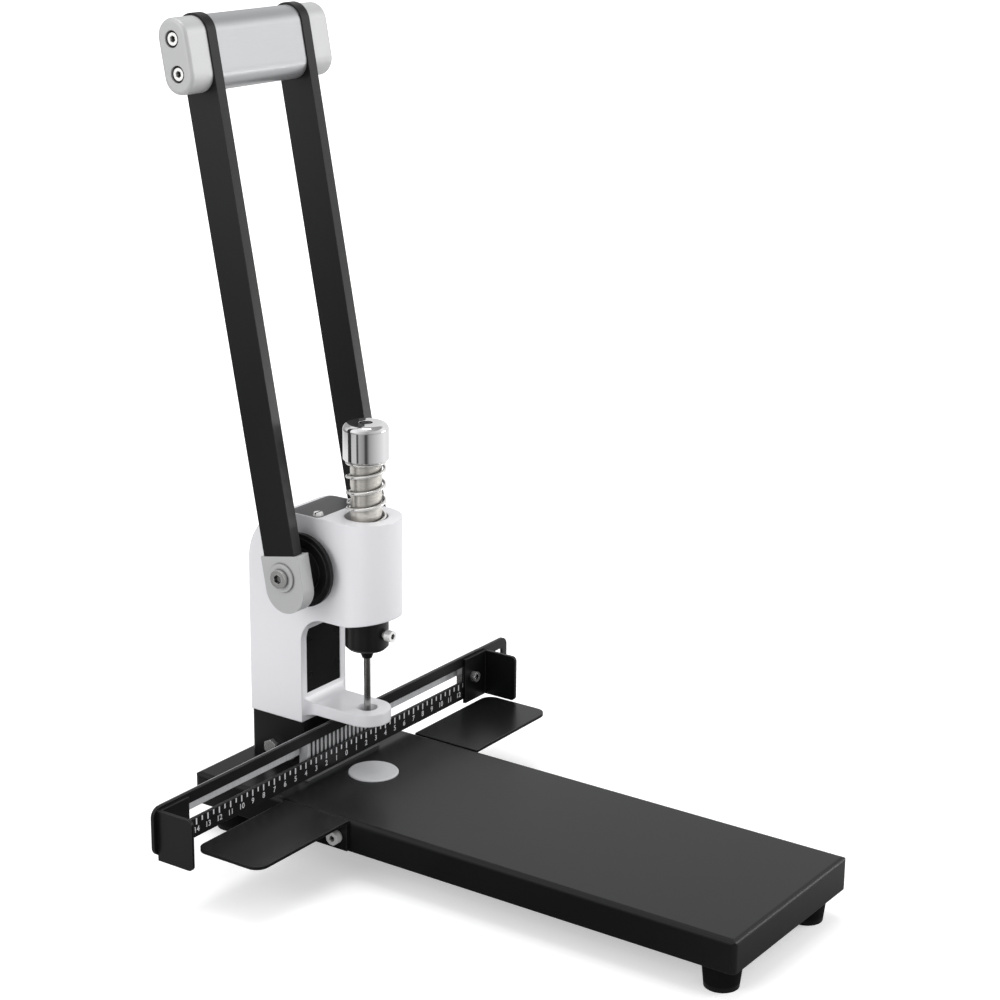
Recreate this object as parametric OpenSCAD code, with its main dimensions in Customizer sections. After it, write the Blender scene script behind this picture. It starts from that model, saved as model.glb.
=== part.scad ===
// Heavy duty single hole punch with a long paper table, a cross gauge and a two-arm lever.
// Sizes are in millimetres. The punch axis is the inner reference: pieces are drawn with the axis at
// x = y = 0 and the top of the table at z = 0, and on_deck() sets them into the part's own frame.
// +Z is up, -Y is the user's side and +X runs along the gauge to the right seen from the front.

/* [Table] */
// width of the paper table
table_w = 131; // [100:1:180]
// front edge of the table to the punch axis
table_front = 299; // [220:1:400]
// rear edge of the table to the punch axis
table_rear = 85; // [80:1:140]
// height of the folded skirt, deck included
skirt_h = 20; // [16:0.5:30]
// thickness of the sheet steel
sheet_t = 2; // [1:0.1:3]
// bend radius along the table's top edges
edge_r = 3; // [2.5:0.5:8]
// height of a rubber foot
foot_h = 17.5; // [12:0.5:30]
// diameter of a foot where it meets the table
foot_top_d = 24; // [18:0.5:30]
// diameter of a foot on the floor
foot_low_d = 20; // [12:0.5:28]
// foot centre from the table's edges
foot_inset = 16.5; // [15.5:0.5:30]
// diameter of the screws that hold the feet
foot_screw_d = 5; // [3:0.5:6]

/* [Cutting pad] */
// diameter of the round cutting pad
pad_d = 31.5; // [24:0.5:40]
// thickness of the cutting pad
pad_h = 6; // [4:0.5:10]
// pad centre in front of the punch axis
pad_offset = 4.5; // [2:0.5:10]
// how far the pad stands above the deck
pad_proud = 0.8; // [0.2:0.1:2]
// diameter of the steel anvil under the pad
anvil_d = 46; // [43:0.5:60]

/* [Wings] */
// reach of a side wing beyond the table
wing_span = 82; // [50:1:100]
// front edge of the wings to the punch axis
wing_front = 36.5; // [30:0.5:60]
// rear edge of the wings behind the punch axis
wing_rear = 12; // [0:0.5:12]
// depth of the wings' top below the deck
wing_drop = 0; // [0:0.1:3]
// corner radius of a wing's outer end
wing_corner_r = 8; // [4:0.5:15]
// diameter of the wing screws
wing_screw_d = 5; // [3:0.5:6]

/* [Head casting] */
// width of the head and of its column
head_w = 43.6; // [40:0.2:60]
// front face of the column behind the punch axis
column_front = 34.3; // [33.5:0.1:50]
// depth of the column from front to rear
column_depth = 40.7; // [36:0.1:60]
// underside of the column above the deck
column_foot = 30.8; // [26:0.2:33]
// wall of the hollow column beside its front panel
column_wall = 5.3; // [4:0.1:8]
// underside of the head above the deck
head_bottom = 100.7; // [96:0.1:105]
// top of the head above the deck
head_top = 166; // [164:0.5:190]
// rise of the head's underside towards its nose
nose_rise = 4; // [1:0.5:4.5]
// radius of the rounded rear shoulder
back_r = 36; // [20:0.5:38]
// radius of the throat where the column meets the head
throat_r = 17; // [8:0.5:20]
// top of the lower tongue above the deck
tongue_top = 42.2; // [41:0.2:44]
// thickness of the lower tongue
tongue_t = 7.7; // [5:0.1:8]
// end radius of the lower tongue
tongue_r = 14.6; // [10:0.1:18]
// fillet where the tongue runs into the column
tongue_fillet = 6; // [2:0.5:6]
// guide hole in the tongue
guide_hole_d = 12.5; // [9:0.5:16]
// bottom edge of the throat panel above the deck
panel_bottom = 48.5; // [46:0.5:56]
// height of the throat panel
panel_h = 43; // [30:0.5:46]
// thickness of the throat panel and of the top cover
panel_t = 1.8; // [1:0.1:3]
// front edge of the top cover behind the punch axis
cover_front = 20; // [15.5:0.5:21]
// width of the top cover
cover_w = 41.6; // [33:0.2:42]
// part of the top cover that bends over the rear shoulder
cover_tail = 7; // [4:0.5:12]

/* [Head bracket] */
// wall of the socket that carries the column
bracket_wall = 5; // [3:0.5:7]
// floor of the socket
bracket_floor = 5; // [3:0.5:6]
// diameter of the bolts through the socket's sides
side_bolt_d = 5; // [4:0.5:7]
// height of the side bolts above the deck
side_bolt_z = 9.5; // [9:0.5:16]
// rear side bolt behind the column's front face
side_bolt_set = 23.4; // [22:0.2:32]
// distance between the two side bolts
side_bolt_gap = 15; // [10:0.5:15]
// diameter of the bolts through the deck
deck_bolt_d = 6; // [4:0.5:8]

/* [Lever] */
// angle that the lever leans back at rest
lean = 10.8; // [0:0.1:20]
// height of the lever's pivot above the deck
pivot_z = 133.6; // [132:0.1:138]
// pivot to the middle of the grip
grip_reach = 311; // [250:1:360]
// width of an arm
arm_w = 23.5; // [20:0.5:30]
// thickness of an arm
arm_t = 7.5; // [6:0.1:9]
// thickness of the arm's tang inside its end block
tang_t = 4; // [3:0.1:5]
// diameter of the hub discs
hub_d = 46; // [36:0.2:50]
// thickness of a hub disc's rim
hub_rim_t = 2.6; // [1.5:0.1:5]
// outer face of a hub disc in front of the head's side
hub_t = 6.2; // [5:0.1:10]
// length of the boss outside a hub disc
hub_boss_t = 7.5; // [5:0.1:12]
// diameter of that boss
hub_boss_d = 28; // [26:0.5:34]
// width of an end block
block_w = 29; // [27:0.5:36]
// thickness of an end block
block_t = 10; // [9.5:0.1:14]
// top of an end block above the pivot
block_rise = 13; // [13:0.5:20]
// centre of an end block's round end below the pivot
block_drop = 8; // [5.5:0.5:10]
// diameter of the pivot bolts
pivot_bolt_d = 7; // [5:0.5:8]
// diameter of the dowels between hub and end block
dowel_d = 4; // [2:0.5:4]

/* [Grip] */
// thickness of the flat oval grip
grip_w = 22; // [16:0.5:24]
// height of the flat oval grip
grip_h = 44; // [30:0.5:60]
// length of a grip end cap
grip_cap_t = 18; // [12:0.5:26]
// margin of an arm's round end around the grip
grip_margin = 1.5; // [0.5:0.1:3]
// distance between the two grip screws of one end
grip_screw_gap = 20; // [14:0.5:24]
// diameter of the grip screws
grip_screw_d = 5; // [3:0.5:6]

/* [Drive] */
// module of the gear teeth
gear_module = 2; // [1.8:0.05:2.1]
// teeth on the full pitch circle
gear_teeth = 20; // [18:1:20]
// face width of the gear sector
gear_w = 14; // [10:0.5:18]
// play between gear and rack teeth at the pitch line
backlash = 0.5; // [0.3:0.05:0.8]
// diameter of the lever shaft
shaft_d = 16; // [14:0.5:18]
// wall of the shaft bushes
shaft_bush_wall = 2; // [1.5:0.1:3]
// travel of the plunger
stroke = 34; // [28:0.5:34.5]

/* [Plunger] */
// diameter of the plunger
plunger_d = 19.2; // [18:0.1:20]
// wall of the plunger's guide sleeve
sleeve_wall = 2.2; // [1.5:0.1:2.4]
// depth of the spring well in the top of the head
well_depth = 12.5; // [10:0.5:13]
// diameter of the spring well
well_d = 26.6; // [25.8:0.1:28]
// underside of the cap above the head at rest
cap_lift = 35.5; // [35:0.5:45]
// diameter of the cap
cap_d = 27.8; // [27:0.1:34]
// height of the cap
cap_h = 22.9; // [16:0.1:30]
// rounding of the cap's top edge
cap_edge_r = 4; // [1:0.5:4.5]
// depth of the plunger's seat in the cap
cap_seat = 13; // [8:0.5:14]
// outer diameter of the return spring
spring_d = 24.8; // [24.2:0.1:25.2]
// wire diameter of the return spring
wire_d = 2; // [1.6:0.1:2.4]
// turns of the return spring
spring_turns = 4.25; // [3.5:0.25:5]
// thickness of the spring's seat washer
seat_t = 1.5; // [1:0.1:2]
// diameter of the chuck
chuck_d = 26.8; // [24:0.1:28]
// underside of the chuck below the head at rest
chuck_drop = 19; // [14:0.1:22]
// diameter of the chuck screw
chuck_screw_d = 4.5; // [4:0.5:8]
// diameter of the punch pin
pin_d = 4.2; // [3:0.1:6]
// bore of the hollow punch pin
pin_bore_d = 2.6; // [1.5:0.1:3]
// gap that the tip keeps above the pad at full stroke
tip_gap = 0.4; // [0.3:0.1:1]

/* [Gauge] */
// length of the gauge fence
fence_len = 352; // [300:1:420]
// front face of the fence behind the punch axis
fence_face = 16.7; // [16:0.1:17.5]
// lower edge of the fence above the deck
fence_bottom = 3.1; // [2:0.1:5]
// upper edge of the fence above the deck
fence_top = 33; // [31:0.1:33.5]
// corner radius of the fence
fence_corner_r = 6; // [2:0.5:10]
// lower edge of the fence's slot above the deck
slot_low = 15.2; // [13:0.1:16]
// upper edge of the fence's slot above the deck
slot_high = 26; // [25:0.1:27.5]
// fence left standing at each end of the slot
slot_end = 5; // [4:0.5:12]
// width of the ribbed carrier behind the fence
carrier_w = 72; // [60:1:90]
// thickness of the carrier's upright
carrier_t = 6.3; // [6:0.1:7]
// pitch of the ribs on the carrier
rib_pitch = 4; // [3:0.5:8]
// height of the silver guide rail
rail_h = 10; // [8:0.5:12]
// thickness of the silver guide rail
rail_t = 4; // [3:0.5:4.5]
// lower edge of the guide rail above the deck
rail_low = 16.5; // [13:0.1:18]
// guide rail left short of the slot at each end
rail_short = 13; // [0:0.5:20]

/* [Side stops] */
// outer face of the left stop in from the fence's left end
left_stop_x = 3; // [2:1:26]
// outer face of the right stop in from the fence's right end
right_stop_x = 26; // [16:1:66]
// reach of a stop's plate in front of the fence
stop_reach = 26; // [20:0.5:34]
// width of a stop's flange on the fence
stop_flange_w = 25; // [20:0.5:30]
// underside of the stops above the deck
stop_low = 0.5; // [0.4:0.1:3]
// height of the stops
stop_h = 31; // [25:0.5:31.5]
// diameter of the stops' clamp screws
stop_screw_d = 4; // [4:0.5:6]

/* [Hidden] */
$fn = 64;
small_fn = 32;
hex_fn = 6;
// radial clearance of seated pieces
fit = 0.02;
// radial clearance of running shafts
run = 0.04;
// clearance between bodies that move past each other
gap = 0.4;
// clearance of a screw in a through hole
through = 0.2;
// overshoot of cutting shapes
cut = 1;

black = [0.10, 0.10, 0.11];
charcoal = [0.24, 0.24, 0.25];
white = [0.93, 0.93, 0.94];
silver = [0.74, 0.75, 0.76];
steel = [0.80, 0.80, 0.80];
bronze = [0.70, 0.52, 0.30];
pale_grey = [0.82, 0.83, 0.84];

deck_z = foot_h + skirt_h;
table_inner_w = table_w - 2 * sheet_t;
table_mid = (table_rear - table_front) / 2;
table_len = table_front + table_rear;

// gear and rack
pitch_r = gear_module * gear_teeth / 2;
tip_r = pitch_r + gear_module;
root_r = pitch_r - 1.25 * gear_module;
pressure_angle = 20;
base_r = pitch_r * cos(pressure_angle);
tooth_pitch = PI * gear_module;
tooth_step = 360 / gear_teeth;
rack_inset = 1.7;
rack_line = plunger_d / 2 - rack_inset;
pivot_back = rack_line + pitch_r;
swing = stroke / pitch_r * 180 / PI;
teeth_below = 1;
teeth_above = ceil(swing / tooth_step) + 1;
gear_hub_r = shaft_d / 2 + 5;
key_w = 5;
key_sink = 2.5;

// places across the width, from the middle outwards
hub_gap = 0.5;
hub_x = head_w / 2 + hub_gap;
boss_x = hub_x + hub_t;
block_x = boss_x + hub_boss_t;
arm_out = block_x + block_t;
arm_in = arm_out - arm_t;
tang_x = block_x + (block_t - tang_t) / 2;
tang_w = block_w - 11;
washer_t = 1.6;
washer_d = 2.5 * pivot_bolt_d;
bolt_head_t = 3.2;
bolt_head_d = 1.6 * pivot_bolt_d;
bolt_end = head_w / 2 - 4;
dowel_ring = (shaft_d + hub_boss_d) / 4;
dowel_hold = (block_t - tang_t) / 2 - 0.2;
key_end = 1;
key_half = gear_w / 2 - key_end;
bush_r = shaft_d / 2 + run + shaft_bush_wall;
side_bolt_hold = 8;

// heights on the punch axis
column_rear = column_front + column_depth;
column_mid = (column_front + column_rear) / 2;
cap_low = head_top + cap_lift;
seat_z = head_top - well_depth;
spring_z = seat_z + seat_t;
spring_len = cap_low - spring_z;
chuck_low = head_bottom - chuck_drop;
chuck_top = head_bottom + 3.3;
chuck_pocket = head_bottom + 5.5;
spigot_r = plunger_d / 2 - 3.5;
spigot_len = 8;
tip_z = pad_proud + tip_gap + stroke;
pin_top = chuck_top - spigot_len - 1;
nub_h = 6.5;
cap_screw_d = 4;
cap_screw_head = 3;
cap_screw_hold = 8;
nub_r = pin_d / 2 + 3;
chuck_screw_z = chuck_low + 11;
chuck_head_t = chuck_screw_d;
chuck_screw_out = chuck_d / 2 + 2 + chuck_head_t;
tongue_low = tongue_top - tongue_t;
sleeve_r = plunger_d / 2 + run + sleeve_wall;

// gear chamber
chamber_w = gear_w + 6;
chamber_r = tip_r + 1;
cover_rear = column_rear - back_r;
cover_end = cover_rear + cover_tail;
cover_ledge = 4;
cover_corner_r = 3;
cover_screw_d = 4;
cover_screw_inset = 4;
cover_screw_side = 4.5;
cover_screw_hold = 7;

// column and panel
panel_w = head_w - 2 * column_wall;
panel_ledge = 6;
panel_recess = 0.4;
panel_screw_d = 3;
panel_screw_inset = 3.2;
panel_screw_low = 11.5;
panel_screw_hold = 6;
panel_head_d = 1.8 * panel_screw_d;
panel_head_t = panel_t * 0.6;

// gauge
fence_t = sheet_t;
fence_back = fence_face + fence_t;
fence_mid = (fence_bottom + fence_top) / 2;
fence_h = fence_top - fence_bottom;
slot_len = fence_len - 2 * slot_end;
slot_mid = (slot_low + slot_high) / 2;
carrier_back = fence_back + carrier_t;
carrier_top = fence_top - 4.5;
carrier_flange_t = 4;
carrier_flange = column_front - carrier_back - 1.2;
carrier_screw_d = 4;
carrier_screw_x = carrier_w / 2 - 10;
fence_screw_d = 3;
fence_screw_hold = fence_t * 0.7;
slot_corner_r = 2;
fence_screw_z = (fence_bottom + slot_low) / 2 - 0.5;
rail_screw_d = 3;
rail_screw_x = carrier_w / 4;
rail_mid = rail_low + rail_h / 2;
rail_len = slot_len - 2 * rail_short;

// side stops
stop_corner_r = 3;
stop_nut_w = 12;
stop_nut_h = 16;
stop_nut_t = carrier_t - 1.6;
slide = 0.05;
stop_head_d = 1.7 * stop_screw_d;
stop_screw_in = stop_flange_w * 0.68;
stop_screw_z = slot_low + stop_screw_d / 2 + 0.6;
stop_face = fence_face - slide - sheet_t;
left_stop_out = fence_len / 2 - left_stop_x;
right_stop_out = fence_len / 2 - right_stop_x;

// extent behind the punch axis, which centres the part on its own frame
grip_end_r = grip_w / 2;
arm_end_r = arm_w / 2;
grip_head_x = arm_out + grip_cap_t - grip_screw_d - 0.8;
grip_screw_len = grip_head_x - arm_in + 20;
grip_edge_r = 2.5;
arm_top_mid = grip_reach + grip_h / 2 + grip_margin - arm_end_r;
grip_tip = pivot_back + (grip_reach + grip_h / 2 - grip_end_r) * sin(lean) + grip_end_r;
arm_tip = pivot_back + arm_top_mid * sin(lean) + arm_end_r;
rear_reach = max(grip_tip, arm_tip, table_rear);
axis_y = (table_front - rear_reach) / 2;

// Places

// sets the punch axis and the deck into the part's own frame
module on_deck() {
    translate([0, axis_y, deck_z]) children();
}

// the lever's own axes: origin at the pivot, z along the arms at rest
module on_lever() {
    on_deck() translate([0, pivot_back, pivot_z]) rotate([-lean, 0, 0]) children();
}

// the left and right copies of a piece drawn on the right
module both_sides() {
    for (side = [0, 1]) mirror([side, 0, 0]) children();
}

// extrudes an outline drawn in y and z along x, from x0 to x1
module along_x(x0, x1) {
    translate([x0, 0, 0]) rotate([90, 0, 90]) linear_extrude(height = x1 - x0) children();
}

// extrudes an outline drawn in x and z along y, from y0 to y1
module along_y(y0, y1) {
    translate([0, y1, 0]) rotate([90, 0, 0]) linear_extrude(height = y1 - y0) children();
}

// Shared outlines and solids

module round_rect(w, h, r) {
    square([w - 2 * r, h], center = true);
    square([w, h - 2 * r], center = true);
    for (x = [-1, 1], y = [-1, 1]) translate([x * (w / 2 - r), y * (h / 2 - r)]) circle(r = r);
}

// flat oval, taller than wide
module oval(w, h) {
    square([w, h - w], center = true);
    for (y = [-1, 1]) translate([0, y * (h - w) / 2]) circle(d = w);
}

// rectangle with only its two upper corners rounded, standing on y = 0
module round_top(w, h, r) {
    translate([-w / 2, 0]) square([w, h - r]);
    translate([-w / 2 + r, 0]) square([w - 2 * r, h]);
    for (x = [-1, 1]) translate([x * (w / 2 - r), h - r]) circle(r = r);
}

module rod_x(d, x0, x1) {
    translate([x0, 0, 0]) rotate([0, 90, 0]) cylinder(d = d, h = x1 - x0);
}

module rod_y(d, y0, y1) {
    translate([0, y0, 0]) rotate([-90, 0, 0]) cylinder(d = d, h = y1 - y0);
}

// screw along z: the head stands on z = 0 and the shank hangs below it
module socket_screw(d, head_d, head_h, shank) {
    difference() {
        union() {
            cylinder(d = head_d, h = head_h, $fn = small_fn);
            translate([0, 0, -shank]) cylinder(d = d, h = shank + head_h / 2, $fn = small_fn);
        }
        translate([0, 0, head_h * 0.4]) cylinder(d = d * 0.85, h = head_h, $fn = hex_fn);
    }
}

module slotted_screw(d, head_d, head_h, shank) {
    difference() {
        union() {
            cylinder(d1 = head_d, d2 = head_d * 0.8, h = head_h, $fn = small_fn);
            translate([0, 0, -shank]) cylinder(d = d, h = shank + head_h / 2, $fn = small_fn);
        }
        translate([-head_d, -d / 8, head_h * 0.55]) cube([2 * head_d, d / 4, head_h]);
    }
}

// countersunk screw whose head's top lies at zero
module flat_screw(d, head_d, head_h, shank) {
    difference() {
        union() {
            translate([0, 0, -head_h]) cylinder(d1 = d, d2 = head_d, h = head_h, $fn = small_fn);
            translate([0, 0, -shank]) cylinder(d = d, h = shank - head_h / 2, $fn = small_fn);
        }
        translate([-head_d, -d / 8, -head_h * 0.4]) cube([2 * head_d, d / 4, head_h]);
    }
}

module hex_bolt(d, flats, head_h, shank) {
    cylinder(d = flats / cos(30), h = head_h, $fn = hex_fn);
    translate([0, 0, -shank]) cylinder(d = d, h = shank + head_h / 2, $fn = small_fn);
}

// Table

module table_tray() {
    color(charcoal) on_deck() difference() {
        translate([0, 0, -skirt_h]) intersection() {
            translate([0, table_mid, 0]) linear_extrude(height = skirt_h)
                round_rect(table_w, table_len, edge_r);
            along_y(-table_front, table_rear) round_top(table_w, skirt_h, edge_r);
            along_x(-table_w / 2, table_w / 2) translate([table_mid, 0])
                round_top(table_len, skirt_h, edge_r);
        }
        translate([-table_inner_w / 2, sheet_t - table_front, -skirt_h - cut])
            cube([table_inner_w, table_len - 2 * sheet_t, skirt_h - sheet_t + cut]);
        translate([0, -pad_offset, -skirt_h]) cylinder(d = pad_d + 2 * gap, h = 2 * skirt_h);
        deck_bolt_places() translate([0, 0, -skirt_h])
            cylinder(d = deck_bolt_d + through, h = 2 * skirt_h, $fn = small_fn);
        carrier_screw_places() translate([0, 0, -skirt_h])
            cylinder(d = carrier_screw_d + through, h = 2 * skirt_h, $fn = small_fn);
        both_sides() wing_screw_places() rod_x(wing_screw_d + through, -4 * sheet_t, 4 * sheet_t);
    }
}

module foot_places() {
    for (x = [-1, 1], y = [foot_inset - table_front, table_rear - foot_inset])
        translate([x * (table_w / 2 - foot_inset), y, -skirt_h]) children();
}

module bottom_plate() {
    color(black) on_deck() difference() {
        translate([-table_inner_w / 2 + fit, sheet_t - table_front + fit, -skirt_h])
            cube([table_inner_w - 2 * fit, table_len - 2 * sheet_t - 2 * fit, sheet_t]);
        foot_places() translate([0, 0, -cut])
            cylinder(d = foot_screw_d + through, h = sheet_t + 2 * cut, $fn = small_fn);
    }
}

module corner_posts() {
    color(steel) on_deck() foot_places() translate([0, 0, sheet_t]) difference() {
        cylinder(d = 2.4 * foot_screw_d, h = skirt_h - 2 * sheet_t);
        translate([0, 0, -cut]) cylinder(d = foot_screw_d, h = foot_screw_hold() + 2 * cut, $fn = small_fn);
    }
}

// length of a foot screw inside its post
function foot_screw_hold() = (skirt_h - 2 * sheet_t) * 0.6;

// depth of the foot's recess for its screw head
function foot_recess() = foot_h * 0.4;

module rubber_feet() {
    color(black) on_deck() foot_places() translate([0, 0, -foot_h]) difference() {
        cylinder(d1 = foot_low_d, d2 = foot_top_d, h = foot_h);
        translate([0, 0, -cut]) cylinder(d = 2 * foot_screw_d + through, h = foot_recess() + cut);
        cylinder(d = foot_screw_d + through, h = 2 * foot_h, $fn = small_fn);
    }
}

module foot_screws() {
    shank = foot_h - foot_recess() + sheet_t + foot_screw_hold();
    color(steel) on_deck() foot_places() translate([0, 0, foot_recess() - foot_h]) rotate([180, 0, 0])
        socket_screw(foot_screw_d, 2 * foot_screw_d, foot_recess() * 0.5, shank);
}

// Cutting pad

// the pad's seat in the anvil lies this far below the deck
function pad_floor() = pad_h - pad_proud;

module anvil_block() {
    color(steel) on_deck() translate([0, -pad_offset, 0]) difference() {
        translate([0, 0, sheet_t - skirt_h]) cylinder(d = anvil_d, h = skirt_h - 2 * sheet_t);
        translate([0, 0, -pad_floor() - fit]) cylinder(d = pad_d + 2 * run, h = skirt_h);
    }
}

module cutting_pad() {
    chamfer = 0.5;
    color(pale_grey) on_deck() translate([0, -pad_offset, -pad_floor()]) {
        cylinder(d = pad_d, h = pad_h - chamfer);
        translate([0, 0, pad_h - chamfer]) cylinder(d1 = pad_d, d2 = pad_d - 2 * chamfer, h = chamfer);
    }
}

// Wings

// screw places on the right side of the table
module wing_screw_places() {
    inset = 7.5;
    for (y = [inset - wing_front, wing_rear - inset])
        translate([table_w / 2, y, -skirt_h * 0.57]) children();
}

module wing() {
    depth = wing_front + wing_rear;
    flange_h = skirt_h - wing_drop - 0.5;
    r = wing_corner_r;
    difference() {
        union() {
            translate([table_w / 2, -wing_front, -wing_drop - sheet_t]) linear_extrude(height = sheet_t) {
                square([wing_span - r, depth]);
                translate([0, r]) square([wing_span, depth - 2 * r]);
                for (y = [r, depth - r]) translate([wing_span - r, y]) circle(r = r);
            }
            translate([table_w / 2, -wing_front, -wing_drop - flange_h]) cube([sheet_t, depth, flange_h]);
        }
        wing_screw_places() rod_x(wing_screw_d + through, -cut, sheet_t + cut);
    }
}

module wing_left() {
    color(black) on_deck() mirror([1, 0, 0]) wing();
}

module wing_right() {
    color(black) on_deck() wing();
}

module wing_screws() {
    color(steel) on_deck() both_sides() wing_screw_places() translate([sheet_t, 0, 0]) rotate([0, 90, 0])
        socket_screw(wing_screw_d, 1.7 * wing_screw_d, wing_screw_d, 4 * sheet_t);
}

// Head bracket

module deck_bolt_places() {
    for (x = [-1, 1], y = [-1, 1])
        translate([x * (head_w / 2 - bracket_wall - deck_bolt_d), column_mid + y * column_depth / 4, 0])
            children();
}

// side bolt places on the right of the bracket
module side_bolt_places() {
    for (y = [side_bolt_set, side_bolt_set - side_bolt_gap])
        translate([head_w / 2, column_front + y, side_bolt_z]) children();
}

module head_bracket() {
    inner_w = head_w - 2 * bracket_wall;
    inner_d = column_depth - 2 * bracket_wall;
    color(black) on_deck() difference() {
        translate([0, column_mid, 0]) linear_extrude(height = column_foot)
            round_rect(head_w, column_depth, bracket_wall / 2);
        translate([-inner_w / 2, column_mid - inner_d / 2, bracket_floor])
            cube([inner_w, inner_d, column_foot]);
        deck_bolt_places() translate([0, 0, -cut])
            cylinder(d = deck_bolt_d + 2 * fit, h = bracket_floor + 2 * cut, $fn = small_fn);
        both_sides() side_bolt_places() rod_x(side_bolt_d + through, -bracket_wall - cut, cut);
    }
}

module deck_bolts() {
    color(steel) on_deck() deck_bolt_places() translate([0, 0, -sheet_t]) rotate([180, 0, 0])
        hex_bolt(deck_bolt_d, 1.7 * deck_bolt_d, 0.7 * deck_bolt_d, sheet_t + bracket_floor - 0.5);
}

module side_bolts() {
    color(steel) on_deck() both_sides() side_bolt_places() rotate([0, 90, 0])
        hex_bolt(side_bolt_d, 1.8 * side_bolt_d, 0.75 * side_bolt_d, bracket_wall + side_bolt_hold);
}

// Head casting

// side view of the column, the head and the throat between them, in y and z
module head_side() {
    nose = head_w / 2;
    shoulder_z = head_top - back_r;
    difference() {
        union() {
            translate([column_front, column_foot]) square([column_depth, shoulder_z - column_foot]);
            translate([-nose, head_bottom]) square([cover_rear + nose, head_top - head_bottom]);
            translate([cover_rear, shoulder_z]) intersection() {
                circle(r = back_r);
                square(back_r);
            }
            translate([column_front - throat_r, head_bottom - throat_r]) difference() {
                square([throat_r + cut, throat_r + cut]);
                circle(r = throat_r);
            }
        }
        polygon([[0, head_bottom - cut], [0, head_bottom], [-nose, head_bottom + nose_rise],
            [-nose - cut, head_bottom + nose_rise], [-nose - cut, head_bottom - cut]]);
    }
}

// view from above of the head with its round nose
module head_plan() {
    translate([-head_w / 2, 0]) square([head_w, column_rear]);
    circle(d = head_w);
}

// view from above of the tongue, which widens into the column
module tongue_plan() {
    flare = head_w / 2 - tongue_r;
    circle(r = tongue_r);
    translate([-tongue_r, 0]) square([2 * tongue_r, column_front + cut]);
    difference() {
        translate([-head_w / 2, column_front - flare]) square([head_w, flare + cut]);
        for (side = [-1, 1]) translate([side * head_w / 2, column_front - flare]) circle(r = flare);
    }
}

// fillet between the tongue's top and the column, in y and z
module tongue_fillet_side() {
    translate([column_front - tongue_fillet, tongue_top]) difference() {
        translate([0, -cut]) square([tongue_fillet + cut, tongue_fillet + cut]);
        translate([0, tongue_fillet]) circle(r = tongue_fillet);
    }
}

// hollow that the gear turns in, open to the top under the cover
module gear_chamber() {
    along_x(-chamber_w / 2, chamber_w / 2) {
        translate([pivot_back, pivot_z]) circle(r = chamber_r);
        translate([cover_front + cover_ledge, pivot_z])
            square([cover_rear - cover_front - 2 * cover_ledge, head_top - pivot_z + cut]);
    }
}

module panel_screw_places() {
    for (side = [-1, 1], z = [panel_screw_low, panel_h - panel_screw_inset - panel_screw_low / 2])
        translate([side * (panel_w / 2 - panel_screw_inset), column_front + panel_recess, panel_bottom + z])
            rotate([90, 0, 0]) children();
}

module cover_screw_places() {
    for (side = [-1, 1])
        translate([side * (cover_w / 2 - cover_screw_side), cover_front + cover_screw_inset, head_top])
            children();
}

// side view of the top cover, which bends over the rear shoulder, in y and z
module cover_side(ease, above) {
    translate([cover_front - cut, head_top - panel_t])
        square([cover_rear - cover_front + cut, panel_t + above]);
    translate([cover_rear, head_top - back_r]) intersection() {
        difference() {
            circle(r = back_r + above);
            circle(r = back_r - panel_t - ease);
        }
        square([cover_tail + cut, back_r + above]);
    }
}

// top cover, or with ease around it and space above it the recess that it lies in
module cover_plate(ease, above) {
    intersection() {
        along_x(-head_w, head_w) cover_side(ease, above);
        translate([0, (cover_front + cover_end) / 2, 0]) linear_extrude(height = head_top + above)
            round_rect(cover_w + 2 * ease, cover_end - cover_front + 2 * ease, cover_corner_r);
    }
}

module head_casting() {
    stem_w = head_w - 2 * bracket_wall - 2 * fit;
    stem_d = column_depth - 2 * bracket_wall - 2 * fit;
    stem_low = bracket_floor + gap;
    hollow_w = panel_w - 2 * panel_ledge;
    color(white) on_deck() difference() {
        union() {
            intersection() {
                along_x(-head_w / 2, head_w / 2) head_side();
                linear_extrude(height = head_top + cut) head_plan();
            }
            translate([0, 0, tongue_low]) linear_extrude(height = tongue_t) tongue_plan();
            intersection() {
                along_x(-head_w / 2, head_w / 2) tongue_fillet_side();
                linear_extrude(height = head_top) tongue_plan();
            }
            translate([-stem_w / 2, column_mid - stem_d / 2, stem_low]) cube([stem_w, stem_d, column_foot]);
        }
        // guide hole in the tongue
        cylinder(d = guide_hole_d, h = tongue_top + cut);
        // plunger line: chuck pocket, sleeve bore and spring well
        translate([0, 0, head_bottom - cut])
            cylinder(d = chuck_d + 2 * gap, h = chuck_pocket - head_bottom + cut);
        translate([0, 0, chuck_pocket - cut])
            cylinder(r = sleeve_r + fit, h = seat_z - chuck_pocket + 2 * cut);
        translate([0, 0, seat_z]) cylinder(d = well_d, h = well_depth + cut);
        gear_chamber();
        cover_plate(fit, cut);
        // shaft line
        translate([0, pivot_back, pivot_z]) rod_x(2 * bush_r + 2 * fit, -head_w, head_w);
        // recess of the throat panel and the hollow behind it
        translate([-panel_w / 2, column_front - throat_r, panel_bottom])
            cube([panel_w, throat_r + panel_recess + panel_t, panel_h]);
        translate([-hollow_w / 2, column_front, panel_bottom + panel_ledge])
            cube([hollow_w, column_depth - column_wall, panel_h - 2 * panel_ledge]);
        panel_screw_places() translate([0, 0, -panel_t - panel_screw_hold])
            cylinder(d = panel_screw_d, h = panel_screw_hold + cut, $fn = small_fn);
        cover_screw_places() translate([0, 0, -panel_t - cover_screw_hold])
            cylinder(d = cover_screw_d, h = cover_screw_hold + cut, $fn = small_fn);
        both_sides() side_bolt_places() rod_x(side_bolt_d, -bracket_wall - side_bolt_hold, 0);
    }
}

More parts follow.
